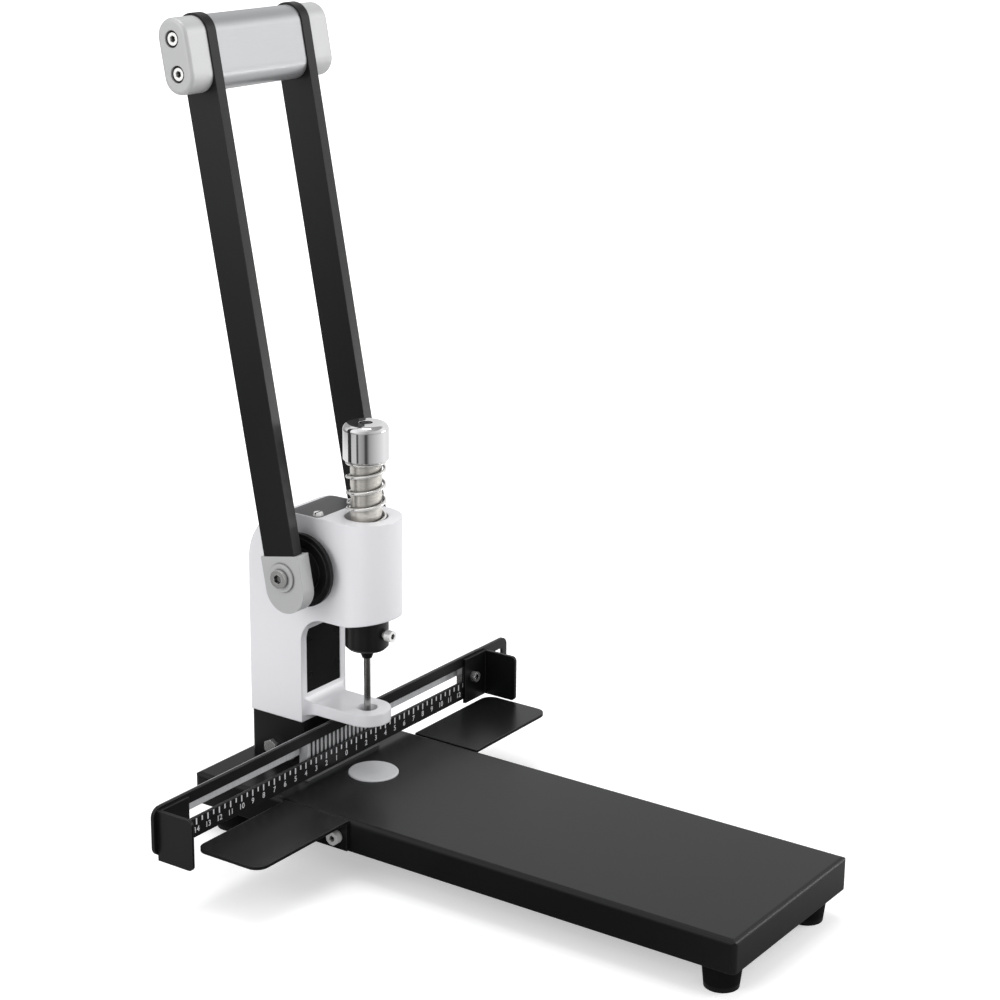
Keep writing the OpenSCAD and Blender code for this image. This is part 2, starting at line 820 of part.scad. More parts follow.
module throat_panel() {
    color(black) on_deck() difference() {
        translate([-panel_w / 2 + fit, column_front + panel_recess, panel_bottom + fit])
            cube([panel_w - 2 * fit, panel_t, panel_h - 2 * fit]);
        panel_screw_places() {
            translate([0, 0, -2 * panel_t])
                cylinder(d = panel_screw_d + through, h = 3 * panel_t, $fn = small_fn);
            translate([0, 0, -panel_head_t])
                cylinder(d1 = panel_screw_d + 2 * fit, d2 = panel_head_d + 2 * fit,
                h = panel_head_t, $fn = small_fn);
        }
    }
}

module throat_panel_screws() {
    color(steel) on_deck() panel_screw_places()
        flat_screw(panel_screw_d, panel_head_d, panel_head_t, panel_t + panel_screw_hold);
}

module top_cover() {
    color(charcoal) on_deck() difference() {
        cover_plate(0, 0);
        cover_screw_places() translate([0, 0, -2 * panel_t])
            cylinder(d = cover_screw_d + through, h = 3 * panel_t, $fn = small_fn);
    }
}

module top_cover_screws() {
    color(steel) on_deck() cover_screw_places()
        slotted_screw(cover_screw_d, 1.7 * cover_screw_d, 0.5 * cover_screw_d, panel_t + cover_screw_hold);
}

// Lever shaft and gear

module guide_sleeve() {
    color(bronze) on_deck() difference() {
        translate([0, 0, chuck_pocket]) cylinder(r = sleeve_r, h = seat_z - chuck_pocket);
        translate([0, 0, chuck_pocket - cut])
            cylinder(r = plunger_d / 2 + run, h = seat_z - chuck_pocket + 2 * cut);
        gear_chamber();
    }
}

module shaft_bushes() {
    color(bronze) on_deck() translate([0, pivot_back, pivot_z]) both_sides() difference() {
        rod_x(2 * bush_r, chamber_w / 2, head_w / 2);
        rod_x(shaft_d + 2 * run, 0, head_w);
    }
}

// key standing on the shaft's upper side, from x0 to x1
module shaft_key(x0, x1, ease) {
    translate([x0 - ease, -key_w / 2 - ease, shaft_d / 2 - key_sink - ease])
        cube([x1 - x0 + 2 * ease, key_w + 2 * ease, 2 * key_sink + 2 * ease]);
}

module lever_shaft() {
    color(steel) on_lever() difference() {
        rod_x(shaft_d, -block_x, block_x);
        both_sides() rod_x(pivot_bolt_d, bolt_end, block_x + cut);
        shaft_key(-key_half, key_half, fit);
        both_sides() shaft_key(hub_x + key_end, block_x - key_end, fit);
    }
}

function involute(angle) = tan(angle) * 180 / PI - angle;

// half angle of a gear tooth at radius r
function tooth_half(r) = (tooth_pitch - backlash) / 4 / pitch_r * 180 / PI
    + involute(pressure_angle) - involute(acos(base_r / max(r, base_r)));

function polar(r, angle) = [r * cos(angle), r * sin(angle)];

// one gear tooth pointing along +x, from inside the root to the tip
module gear_tooth() {
    flank_steps = 5;
    foot_r = min(root_r, base_r) - 1;
    radii = concat([foot_r], [for (i = [0:flank_steps]) base_r + (tip_r - base_r) * i / flank_steps]);
    last = len(radii) - 1;
    polygon(concat([for (i = [0:last]) polar(radii[i], -tooth_half(radii[i]))],
        [for (i = [0:last]) polar(radii[last - i], tooth_half(radii[last - i]))]));
}

// gear sector in y and z: its first tooth faces the plunger at rest
module gear_outline() {
    start = 180 - (teeth_above + 0.5) * tooth_step;
    finish = 180 + (teeth_below + 0.5) * tooth_step;
    wedge_step = (finish - start) / 12;
    circle(r = gear_hub_r);
    intersection() {
        circle(r = root_r);
        polygon(concat([[0, 0]], [for (i = [0:12]) polar(2 * root_r, start + i * wedge_step)]));
    }
    for (i = [-teeth_below:teeth_above]) rotate(180 - i * tooth_step) gear_tooth();
}

module gear_sector() {
    color(steel) on_deck() translate([0, pivot_back, pivot_z]) difference() {
        along_x(-gear_w / 2, gear_w / 2) gear_outline();
        rod_x(shaft_d + 2 * fit, -gear_w, gear_w);
        rotate([-lean, 0, 0]) shaft_key(-gear_w, gear_w, fit);
    }
}

module gear_key() {
    color(steel) on_lever() shaft_key(-key_half, key_half, 0);
}

// Lever hubs and end blocks

// dowel places on the right, in the lever's own y and z
module dowel_places() {
    for (y = [-1, 1]) translate([0, y * dowel_ring * cos(45), -dowel_ring * sin(45)]) children();
}

module hub() {
    ring_r = hub_d / 2 - 2.6;
    ring_w = 0.8;
    ring_depth = 0.4;
    difference() {
        union() {
            rod_x(hub_d, boss_x - hub_rim_t, boss_x);
            rod_x(hub_boss_d, hub_x, block_x);
        }
        difference() {
            rod_x(2 * ring_r, boss_x - ring_depth, boss_x + cut);
            rod_x(2 * ring_r - 2 * ring_w, 0, block_x + cut);
        }
        rod_x(shaft_d + 2 * fit, 0, 2 * block_x);
        shaft_key(hub_x + key_end, block_x - key_end, fit);
        dowel_places() rod_x(dowel_d + 2 * fit, block_x - hub_boss_t * 0.6, block_x + cut);
    }
}

module hub_left() {
    color(black) on_lever() mirror([1, 0, 0]) hub();
}

module hub_right() {
    color(black) on_lever() hub();
}

module hub_keys() {
    color(steel) on_lever() both_sides() shaft_key(hub_x + key_end, block_x - key_end, 0);
}

module hub_dowels() {
    color(steel) on_lever() both_sides() dowel_places()
        rod_x(dowel_d, block_x - hub_boss_t * 0.6 + fit, block_x + dowel_hold - fit);
}

// tang of an arm with its round end on the pivot, in y and z
module tang_outline(ease) {
    translate([-tang_w / 2 - ease, 0]) square([tang_w + 2 * ease, block_rise + cut]);
    circle(d = tang_w + 2 * ease);
}

module end_block() {
    difference() {
        along_x(block_x, arm_out) {
            translate([-block_w / 2, -block_drop]) square([block_w, block_drop + block_rise]);
            translate([0, -block_drop]) circle(d = block_w);
        }
        along_x(tang_x - fit, tang_x + tang_t + fit) tang_outline(fit);
        rod_x(pivot_bolt_d + through, 0, 2 * block_x);
        dowel_places() rod_x(dowel_d + 2 * fit, block_x - cut, block_x + dowel_hold);
    }
}

module end_block_left() {
    color(silver) on_lever() mirror([1, 0, 0]) end_block();
}

module end_block_right() {
    color(silver) on_lever() end_block();
}

module pivot_washers() {
    color(steel) on_lever() both_sides() difference() {
        rod_x(washer_d, arm_out, arm_out + washer_t);
        rod_x(pivot_bolt_d + through, 0, 2 * arm_out);
    }
}

module pivot_bolts() {
    color(steel) on_lever() both_sides() translate([arm_out + washer_t, 0, 0]) rotate([0, 90, 0])
        socket_screw(pivot_bolt_d, bolt_head_d, bolt_head_t, arm_out + washer_t - bolt_end - fit);
}

// Arms and grip

// grip screw places on the right: heads face outwards
module grip_screw_places() {
    for (z = [-1, 1]) translate([grip_head_x, 0, grip_reach + z * grip_screw_gap / 2]) rotate([0, 90, 0])
        children();
}

module arm() {
    difference() {
        union() {
            along_x(arm_in, arm_out) {
                translate([-arm_w / 2, block_rise]) square([arm_w, arm_top_mid - block_rise]);
                translate([0, arm_top_mid]) circle(d = arm_w);
            }
            along_x(tang_x, tang_x + tang_t) tang_outline(0);
        }
        rod_x(pivot_bolt_d + through, 0, 2 * arm_out);
        grip_screw_places() translate([0, 0, -grip_screw_len - cut])
            cylinder(d = grip_screw_d + through, h = 2 * grip_screw_len, $fn = small_fn);
    }
}

module arm_left() {
    color(black) on_lever() mirror([1, 0, 0]) arm();
}

module arm_right() {
    color(black) on_lever() arm();
}

module grip_bar() {
    color(silver) on_lever() difference() {
        along_x(-arm_in, arm_in) translate([0, grip_reach]) oval(grip_w, grip_h);
        both_sides() grip_screw_places() translate([0, 0, -grip_screw_len])
            cylinder(d = grip_screw_d, h = 2 * grip_screw_len, $fn = small_fn);
    }
}

// half section of a grip end cap with its outer edge rounded
module grip_cap_section() {
    r = grip_edge_r;
    square([grip_w / 2, grip_cap_t - r]);
    square([grip_w / 2 - r, grip_cap_t]);
    translate([grip_w / 2 - r, grip_cap_t - r]) circle(r = r);
}

module grip_cap() {
    straight = grip_h - grip_w;
    difference() {
        translate([arm_out, 0, grip_reach]) {
            for (z = [-1, 1]) translate([0, 0, z * straight / 2]) rotate([0, 90, 0])
                rotate_extrude() intersection() {
                    grip_cap_section();
                    square([grip_w, grip_cap_t]);
                }
            translate([0, 0, -straight / 2]) linear_extrude(height = straight)
                for (side = [0, 1]) mirror([0, side]) rotate(-90) grip_cap_section();
        }
        grip_screw_places() cylinder(d = 2 * grip_screw_d, h = grip_cap_t);
        grip_screw_places() translate([0, 0, -grip_cap_t])
            cylinder(d = grip_screw_d + through, h = 2 * grip_cap_t, $fn = small_fn);
    }
}

module grip_cap_left() {
    color(silver) on_lever() mirror([1, 0, 0]) grip_cap();
}

module grip_cap_right() {
    color(silver) on_lever() grip_cap();
}

module grip_screws() {
    color(steel) on_lever() both_sides() grip_screw_places()
        socket_screw(grip_screw_d, 1.5 * grip_screw_d, grip_screw_d, grip_screw_len - fit);
}

// Plunger line

// gap between two rack teeth, in y and z, centred on z = 0
module rack_gap() {
    slope = tan(pressure_angle);
    half = (tooth_pitch + backlash) / 4;
    depth = 1.25 * gear_module;
    reach = gear_module + cut;
    polygon([[rack_line - depth, -half + depth * slope], [rack_line + reach, -half - reach * slope],
        [rack_line + reach, half + reach * slope], [rack_line - depth, half - depth * slope]]);
}

module plunger() {
    rack_tip = rack_line + gear_module;
    mesh_reach = sqrt(tip_r * tip_r - (pivot_back - rack_tip) * (pivot_back - rack_tip)) + gap;
    rack_low = pivot_z - mesh_reach;
    gaps_below = ceil(mesh_reach / tooth_pitch);
    gaps_above = ceil((mesh_reach + stroke) / tooth_pitch);
    color(steel) on_deck() difference() {
        union() {
            translate([0, 0, chuck_top]) cylinder(d = plunger_d, h = cap_low + cap_seat - chuck_top);
            translate([0, 0, chuck_top - spigot_len]) cylinder(r = spigot_r, h = spigot_len + cut);
        }
        translate([-plunger_d, rack_tip, rack_low]) cube([2 * plunger_d, plunger_d, 2 * mesh_reach + stroke]);
        for (i = [-gaps_below:gaps_above]) translate([0, 0, pivot_z + i * tooth_pitch])
            along_x(-plunger_d, plunger_d) rack_gap();
        translate([0, 0, cap_low + cap_seat - cap_screw_hold])
            cylinder(d = cap_screw_d, h = cap_screw_hold + cut, $fn = small_fn);
    }
}

module plunger_cap() {
    chamfer = 0.8;
    r = cap_d / 2;
    color(steel) on_deck() translate([0, 0, cap_low]) difference() {
        rotate_extrude() {
            polygon([[0, 0], [r - chamfer, 0], [r, chamfer], [r, cap_h - cap_edge_r], [r - cap_edge_r, cap_h],
                [0, cap_h]]);
            translate([r - cap_edge_r, cap_h - cap_edge_r]) circle(r = cap_edge_r);
        }
        translate([0, 0, -cut]) cylinder(r = plunger_d / 2 + fit, h = cap_seat + cut);
        cylinder(d = cap_screw_d + through, h = 2 * cap_h, $fn = small_fn);
        translate([0, 0, cap_h - cap_screw_head]) cylinder(d = 2 * cap_screw_d, h = cap_h, $fn = small_fn);
    }
}

module cap_screw() {
    color(charcoal) on_deck() translate([0, 0, cap_low + cap_h - cap_screw_head])
        slotted_screw(cap_screw_d, 1.9 * cap_screw_d, cap_screw_head - 0.3,
            cap_h - cap_screw_head - cap_seat + cap_screw_hold);
}

// angle where the spring leaves its seat
spring_start = 344;
spring_rings = 8;
spring_sides = 6;
// the rings stand as far outside the round centre line as the stretches between them run inside it
spring_mean_r = (spring_d - wire_d) / 4 * (1 + 1 / cos(180 / spring_rings));
spring_steps = spring_turns * spring_rings;
// centre line of the spring from its seat to the cap: straight ends and a helix between them
spring_path = concat([concat(polar(spring_mean_r, spring_start), [0])],
    [for (i = [0:spring_steps]) concat(polar(spring_mean_r, spring_start + 360 * i / spring_rings),
        [wire_d + (spring_len - 2 * wire_d) * i / spring_steps])],
    [concat(polar(spring_mean_r, spring_start + 360 * spring_turns), [spring_len])]);
spring_last = len(spring_path) - 1;

function unit(v) = v / norm(v);

// direction of the stretch that starts at point i
function stretch(i) = unit(spring_path[i + 1] - spring_path[i]);

// direction square to the joint at point i, halfway between its two stretches
function joint_normal(i) = i == 0 ? stretch(0) : i == spring_last ? stretch(i - 1)
    : unit(stretch(i - 1) + stretch(i));

// ring at point i, carried along the stretch from the ring before it
function carried(ring, i) = [for (p = ring) p + stretch(i - 1)
    * ((spring_path[i] - p) * joint_normal(i)) / (stretch(i - 1) * joint_normal(i))];

// least clear distance between turns, measured on points of the centre line
spring_self_gap = min([for (i = [0:spring_last], j = [i + 5:1:spring_last])
    norm(spring_path[i] - spring_path[j])]) - wire_d;
echo(spring_self_gap = spring_self_gap);

module return_spring() {
    first = [for (k = [0:spring_sides - 1]) spring_path[0]
        + concat(polar(wire_d / 2, 360 * k / spring_sides), [0])];
    rings = [for (i = 0, ring = first; i <= spring_last;
        i = i + 1, ring = i <= spring_last ? carried(ring, i) : ring) each ring];
    sides = [for (i = [0:spring_last - 1], k = [0:spring_sides - 1])
        let (a = i * spring_sides + k, b = i * spring_sides + (k + 1) % spring_sides)
        each [[a, a + spring_sides, b], [b, a + spring_sides, b + spring_sides]]];
    top = spring_last * spring_sides;
    ends = [for (k = [1:spring_sides - 2]) each [[0, k, k + 1], [top, top + k + 1, top + k]]];
    color(steel) on_deck() translate([0, 0, spring_z])
        polyhedron(points = rings, faces = concat(sides, ends));
}

module spring_seat() {
    color(steel) on_deck() translate([0, 0, seat_z]) difference() {
        cylinder(d = well_d - 2 * run, h = seat_t);
        translate([0, 0, -cut]) cylinder(d = plunger_d + 2 * gap, h = seat_t + 2 * cut);
    }
}

module chuck() {
    chamfer = 1.8;
    r = chuck_d / 2;
    color(black) on_deck() difference() {
        union() {
            translate([0, 0, chuck_low + chamfer]) cylinder(r = r, h = chuck_top - chuck_low - chamfer);
            translate([0, 0, chuck_low]) cylinder(r1 = r - chamfer, r2 = r, h = chamfer);
            translate([0, 0, chuck_low - nub_h]) cylinder(r1 = pin_d / 2 + 1, r2 = nub_r, h = nub_h);
        }
        translate([0, 0, chuck_low - nub_h - cut])
            cylinder(r = pin_d / 2 + fit, h = pin_top - chuck_low + nub_h + cut);
        translate([0, 0, chuck_top - spigot_len]) cylinder(r = spigot_r + fit, h = spigot_len + cut);
        translate([0, 0, chuck_screw_z]) rod_y(chuck_screw_d + 2 * fit, -chuck_d, 0);
    }
}

module chuck_screw() {
    shank = chuck_screw_out - chuck_head_t - pin_d / 2 - fit;
    color(steel) on_deck() translate([0, chuck_head_t - chuck_screw_out, chuck_screw_z]) rotate([90, 0, 0])
        socket_screw(chuck_screw_d, 1.6 * chuck_screw_d, chuck_head_t, shank);
}

module punch_pin() {
    edge_h = 1.2;
    bore_h = (pin_top - tip_z) / 3;
    color(steel) on_deck() translate([0, 0, tip_z]) difference() {
        union() {
            cylinder(d1 = pin_bore_d + 0.4, d2 = pin_d, h = edge_h);
            translate([0, 0, edge_h]) cylinder(d = pin_d, h = pin_top - tip_z - edge_h);
        }
        translate([0, 0, -cut]) cylinder(d = pin_bore_d, h = bore_h + cut);
    }
}

// Gauge

// carrier screw places on the deck, under the carrier's rear flange
module carrier_screw_places() {
    for (side = [-1, 1]) translate([side * carrier_screw_x, carrier_back + carrier_flange / 2, 0]) children();
}

// fence screw places: heads face the rear
module fence_screw_places() {
    for (side = [-1, 1]) translate([side * carrier_screw_x, carrier_back, fence_screw_z])
        rotate([-90, 0, 0]) children();
}

module rail_screw_places() {
    for (side = [-1, 1]) translate([side * rail_screw_x, carrier_back + rail_t, rail_mid])
        rotate([-90, 0, 0]) children();
}

module gauge_fence() {
    color(black) on_deck() difference() {
        along_y(fence_face, fence_back) difference() {
            translate([0, fence_mid]) round_rect(fence_len, fence_h, fence_corner_r);
            translate([0, slot_mid]) round_rect(slot_len, slot_high - slot_low, slot_corner_r);
        }
        fence_screw_places() translate([0, 0, -carrier_t - fence_screw_hold])
            cylinder(d = fence_screw_d, h = fence_screw_hold + cut, $fn = small_fn);
    }
}

module gauge_carrier() {
    ribs = floor((carrier_w - 2 * rib_pitch) / rib_pitch);
    rib_depth = 1;
    color(silver) on_deck() difference() {
        union() {
            translate([-carrier_w / 2, fence_back, 0]) cube([carrier_w, carrier_t, carrier_top]);
            translate([-carrier_w / 2, fence_back, 0])
                cube([carrier_w, carrier_t + carrier_flange, carrier_flange_t]);
        }
        for (i = [0:ribs]) translate([(i - ribs / 2) * rib_pitch - rib_pitch / 4, fence_back - cut,
            slot_low - cut])
            cube([rib_pitch / 2, rib_depth + cut, slot_high - slot_low + 2 * cut]);
        carrier_screw_places() translate([0, 0, -cut])
            cylinder(d = carrier_screw_d + 2 * fit, h = carrier_flange_t + 2 * cut, $fn = small_fn);
        fence_screw_places() translate([0, 0, -carrier_t - cut])
            cylinder(d = fence_screw_d + through, h = carrier_t + 2 * cut, $fn = small_fn);
        rail_screw_places() translate([0, 0, -rail_t - carrier_t / 2])
            cylinder(d = rail_screw_d, h = carrier_t, $fn = small_fn);
    }
}

module gauge_rail() {
    color(silver) on_deck() difference() {
        translate([-rail_len / 2, carrier_back, rail_low]) cube([rail_len, rail_t, rail_h]);
        rail_screw_places() translate([0, 0, -2 * rail_t])
            cylinder(d = rail_screw_d + through, h = 3 * rail_t, $fn = small_fn);
    }
}

module carrier_screws() {
    color(steel) on_deck() carrier_screw_places() translate([0, 0, -sheet_t]) rotate([180, 0, 0])
        socket_screw(carrier_screw_d, 1.7 * carrier_screw_d, 0.7 * carrier_screw_d,
            sheet_t + carrier_flange_t - 0.5);
}

module fence_screws() {
    color(steel) on_deck() fence_screw_places()
        slotted_screw(fence_screw_d, 1.7 * fence_screw_d, 0.6 * fence_screw_d,
            carrier_t + fence_screw_hold - fit);
}

module rail_screws() {
    color(steel) on_deck() rail_screw_places()
        slotted_screw(rail_screw_d, 1.9 * rail_screw_d, 0.6 * rail_screw_d, rail_t + carrier_t / 2 - fit);
}

// Side stops

// right-hand stop whose plate's outer face stands at x
module stop(x) {
    r = stop_corner_r;
    difference() {
        union() {
            translate([x - sheet_t, fence_face - slide - stop_reach, stop_low]) along_x(0, sheet_t) {
                translate([r, 0]) square([stop_reach - r, stop_h]);
                translate([0, r]) square([stop_reach, stop_h - 2 * r]);
                for (z = [r, stop_h - r]) translate([r, z]) circle(r = r);
            }
            translate([x - stop_flange_w, stop_face, stop_low]) cube([stop_flange_w, sheet_t, stop_h]);
        }
        stop_screw_place(x) translate([0, 0, -2 * sheet_t])
            cylinder(d = stop_screw_d + through, h = 3 * sheet_t, $fn = small_fn);
    }
}

module stop_screw_place(x) {
    translate([x - stop_screw_in, stop_face, stop_screw_z]) rotate([90, 0, 0]) children();
}

module stop_screw(x) {
    shank = sheet_t + slide + fence_t + slide + stop_nut_t + 0.5;
    stop_screw_place(x) socket_screw(stop_screw_d, stop_head_d, stop_screw_d, shank);
}

module stop_nut(x) {
    stop_screw_place(x) translate([0, 0, -sheet_t - slide - fence_t - slide - stop_nut_t]) difference() {
        translate([-stop_nut_w / 2, -stop_nut_h / 2, 0]) cube([stop_nut_w, stop_nut_h, stop_nut_t]);
        translate([0, 0, -cut]) cylinder(d = stop_screw_d, h = stop_nut_t + 2 * cut, $fn = small_fn);
    }
}

module stop_left() {
    color(black) on_deck() mirror([1, 0, 0]) stop(left_stop_out);
}

module stop_right() {
    color(black) on_deck() stop(right_stop_out);
}

module stop_screw_left() {
    color(steel) on_deck() mirror([1, 0, 0]) stop_screw(left_stop_out);
}

module stop_screw_right() {
    color(steel) on_deck() stop_screw(right_stop_out);
}

module stop_nut_left() {
    color(steel) on_deck() mirror([1, 0, 0]) stop_nut(left_stop_out);
}

module stop_nut_right() {
    color(steel) on_deck() stop_nut(right_stop_out);
}

table_tray();
bottom_plate();
corner_posts();
rubber_feet();
foot_screws();
anvil_block();
cutting_pad();
wing_left();
wing_right();
wing_screws();
head_bracket();
deck_bolts();
side_bolts();
head_casting();
throat_panel();
throat_panel_screws();
top_cover();
top_cover_screws();
guide_sleeve();
shaft_bushes();
lever_shaft();
gear_sector();
gear_key();
hub_left();
hub_right();
hub_keys();
hub_dowels();
end_block_left();
end_block_right();
pivot_washers();
pivot_bolts();
arm_left();
arm_right();
grip_bar();
grip_cap_left();
grip_cap_right();
grip_screws();
plunger();
plunger_cap();
cap_screw();
return_spring();
spring_seat();
chuck();
chuck_screw();
punch_pin();
gauge_fence();
gauge_carrier();
gauge_rail();
carrier_screws();
fence_screws();
rail_screws();
stop_left();
stop_right();
stop_screw_left();
stop_screw_right();
stop_nut_left();
stop_nut_right();
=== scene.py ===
"""Bench hole punch: finishes, printed gauge scale, wound return spring, studio and camera."""

import logging
import math
from dataclasses import dataclass, field
from enum import Enum

import bpy
import numpy as np
from mathutils import Matrix, Vector


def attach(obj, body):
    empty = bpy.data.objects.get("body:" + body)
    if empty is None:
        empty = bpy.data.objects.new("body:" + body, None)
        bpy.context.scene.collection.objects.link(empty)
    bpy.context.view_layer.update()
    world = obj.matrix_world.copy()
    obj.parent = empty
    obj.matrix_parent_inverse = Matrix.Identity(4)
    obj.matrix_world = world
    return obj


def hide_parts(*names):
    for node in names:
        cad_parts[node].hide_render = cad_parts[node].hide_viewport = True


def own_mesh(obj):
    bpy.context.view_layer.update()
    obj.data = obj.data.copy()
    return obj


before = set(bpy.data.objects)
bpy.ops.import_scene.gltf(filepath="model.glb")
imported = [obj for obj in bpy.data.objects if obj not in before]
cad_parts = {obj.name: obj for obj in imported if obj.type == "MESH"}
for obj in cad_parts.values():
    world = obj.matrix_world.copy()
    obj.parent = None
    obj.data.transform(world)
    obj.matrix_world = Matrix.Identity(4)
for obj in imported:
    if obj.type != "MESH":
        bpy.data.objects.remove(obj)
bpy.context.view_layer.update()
LOG = logging.getLogger("hole_punch")

# Lengths are in metres: the punch axis stands at x = 0 and y = AXIS_Y, and the deck's top lies at z = DECK_Z.
MM = 0.001
AXIS_Y = 0.099435
DECK_Z = 0.0375

WHITE = (1.0, 1.0, 1.0, 1.0)
# Colour that recesses are darkened towards: painted shade.
PAINTED_SHADE = (0.012, 0.012, 0.012, 1.0)
# Breakup noise of the lighter edges, which are partly wear and partly painted highlight.
EDGE_BREAKUP_SCALE = 420.0
EDGE_BREAKUP_SPREAD = (0.3, 1.4)
SPECK_SHARE = 0.5

Colour = tuple[float, float, float]
Stops = tuple[tuple[float, float], ...]


class Grain(Enum):
    """Kinds of surface grain, each the name of a shared shader group."""

    POWDER = "powder_grain"
    DRAWN = "drawn_grain"


class Lay(Enum):
    """Direction that a metal's drawn lines run in, as stretch factors along X, Y and Z."""

    ALONG_X = (0.04, 1.0, 1.0)
    ALONG_Z = (1.0, 1.0, 0.04)
    ROUND_Z = (0.3, 0.3, 1.6)
    EVEN = (1.0, 1.0, 1.0)


class Graph:
    """Fills a node tree; every node is added with its settings and its inputs in one call."""

    def __init__(self, tree: bpy.types.NodeTree) -> None:
        """Starts on an emptied tree."""
        self.tree = tree
        tree.nodes.clear()

    def add(self, kind: str, settings: dict | None = None, inputs: dict | None = None) -> bpy.types.Node:
        """Adds one node.

        Args:
            kind: The node's type name.
            settings: Attribute values of the node.
            inputs: Input name or index to a constant or to the socket that feeds it.

        Returns:
            The new node.
        """
        node = self.tree.nodes.new(kind)
        for name, value in (settings or {}).items():
            setattr(node, name, value)
        for name, value in (inputs or {}).items():
            if isinstance(value, bpy.types.NodeSocket):
                self.tree.links.new(value, node.inputs[name])
            else:
                node.inputs[name].default_value = value
        return node

    def math(self, operation: str, first: object, second: object = 0.0) -> bpy.types.NodeSocket:
        """Adds a maths node and returns its result."""
        node = self.add("ShaderNodeMath", {"operation": operation}, {0: first, 1: second})
        return node.outputs[0]

    def spread(self, value: object, low: float, high: float) -> bpy.types.NodeSocket:
        """Maps a 0 to 1 value onto low to high and returns the result."""
        node = self.add("ShaderNodeMapRange", None, {"Value": value, "To Min": low, "To Max": high})
        return node.outputs["Result"]

    def between(self, value: object, start: float, end: float) -> bpy.types.NodeSocket:
        """Maps start to end onto 0 to 1 and returns the result."""
        node = self.add("ShaderNodeMapRange", None, {"Value": value, "From Min": start, "From Max": end})
        return node.outputs["Result"]

    def blend(self, share: object, first: object, second: object) -> bpy.types.NodeSocket:
        """Mixes two colours, all of the first at 0 and all of the second at 1, and returns the result."""
        node = self.add("ShaderNodeMix", {"data_type": "RGBA"}, {0: share, 6: first, 7: second})
        return node.outputs[2]

    def group(self, name: str, inputs: dict) -> bpy.types.Node:
        """Places a shared shader group."""
        return self.add("ShaderNodeGroup", {"node_tree": bpy.data.node_groups[name]}, inputs)


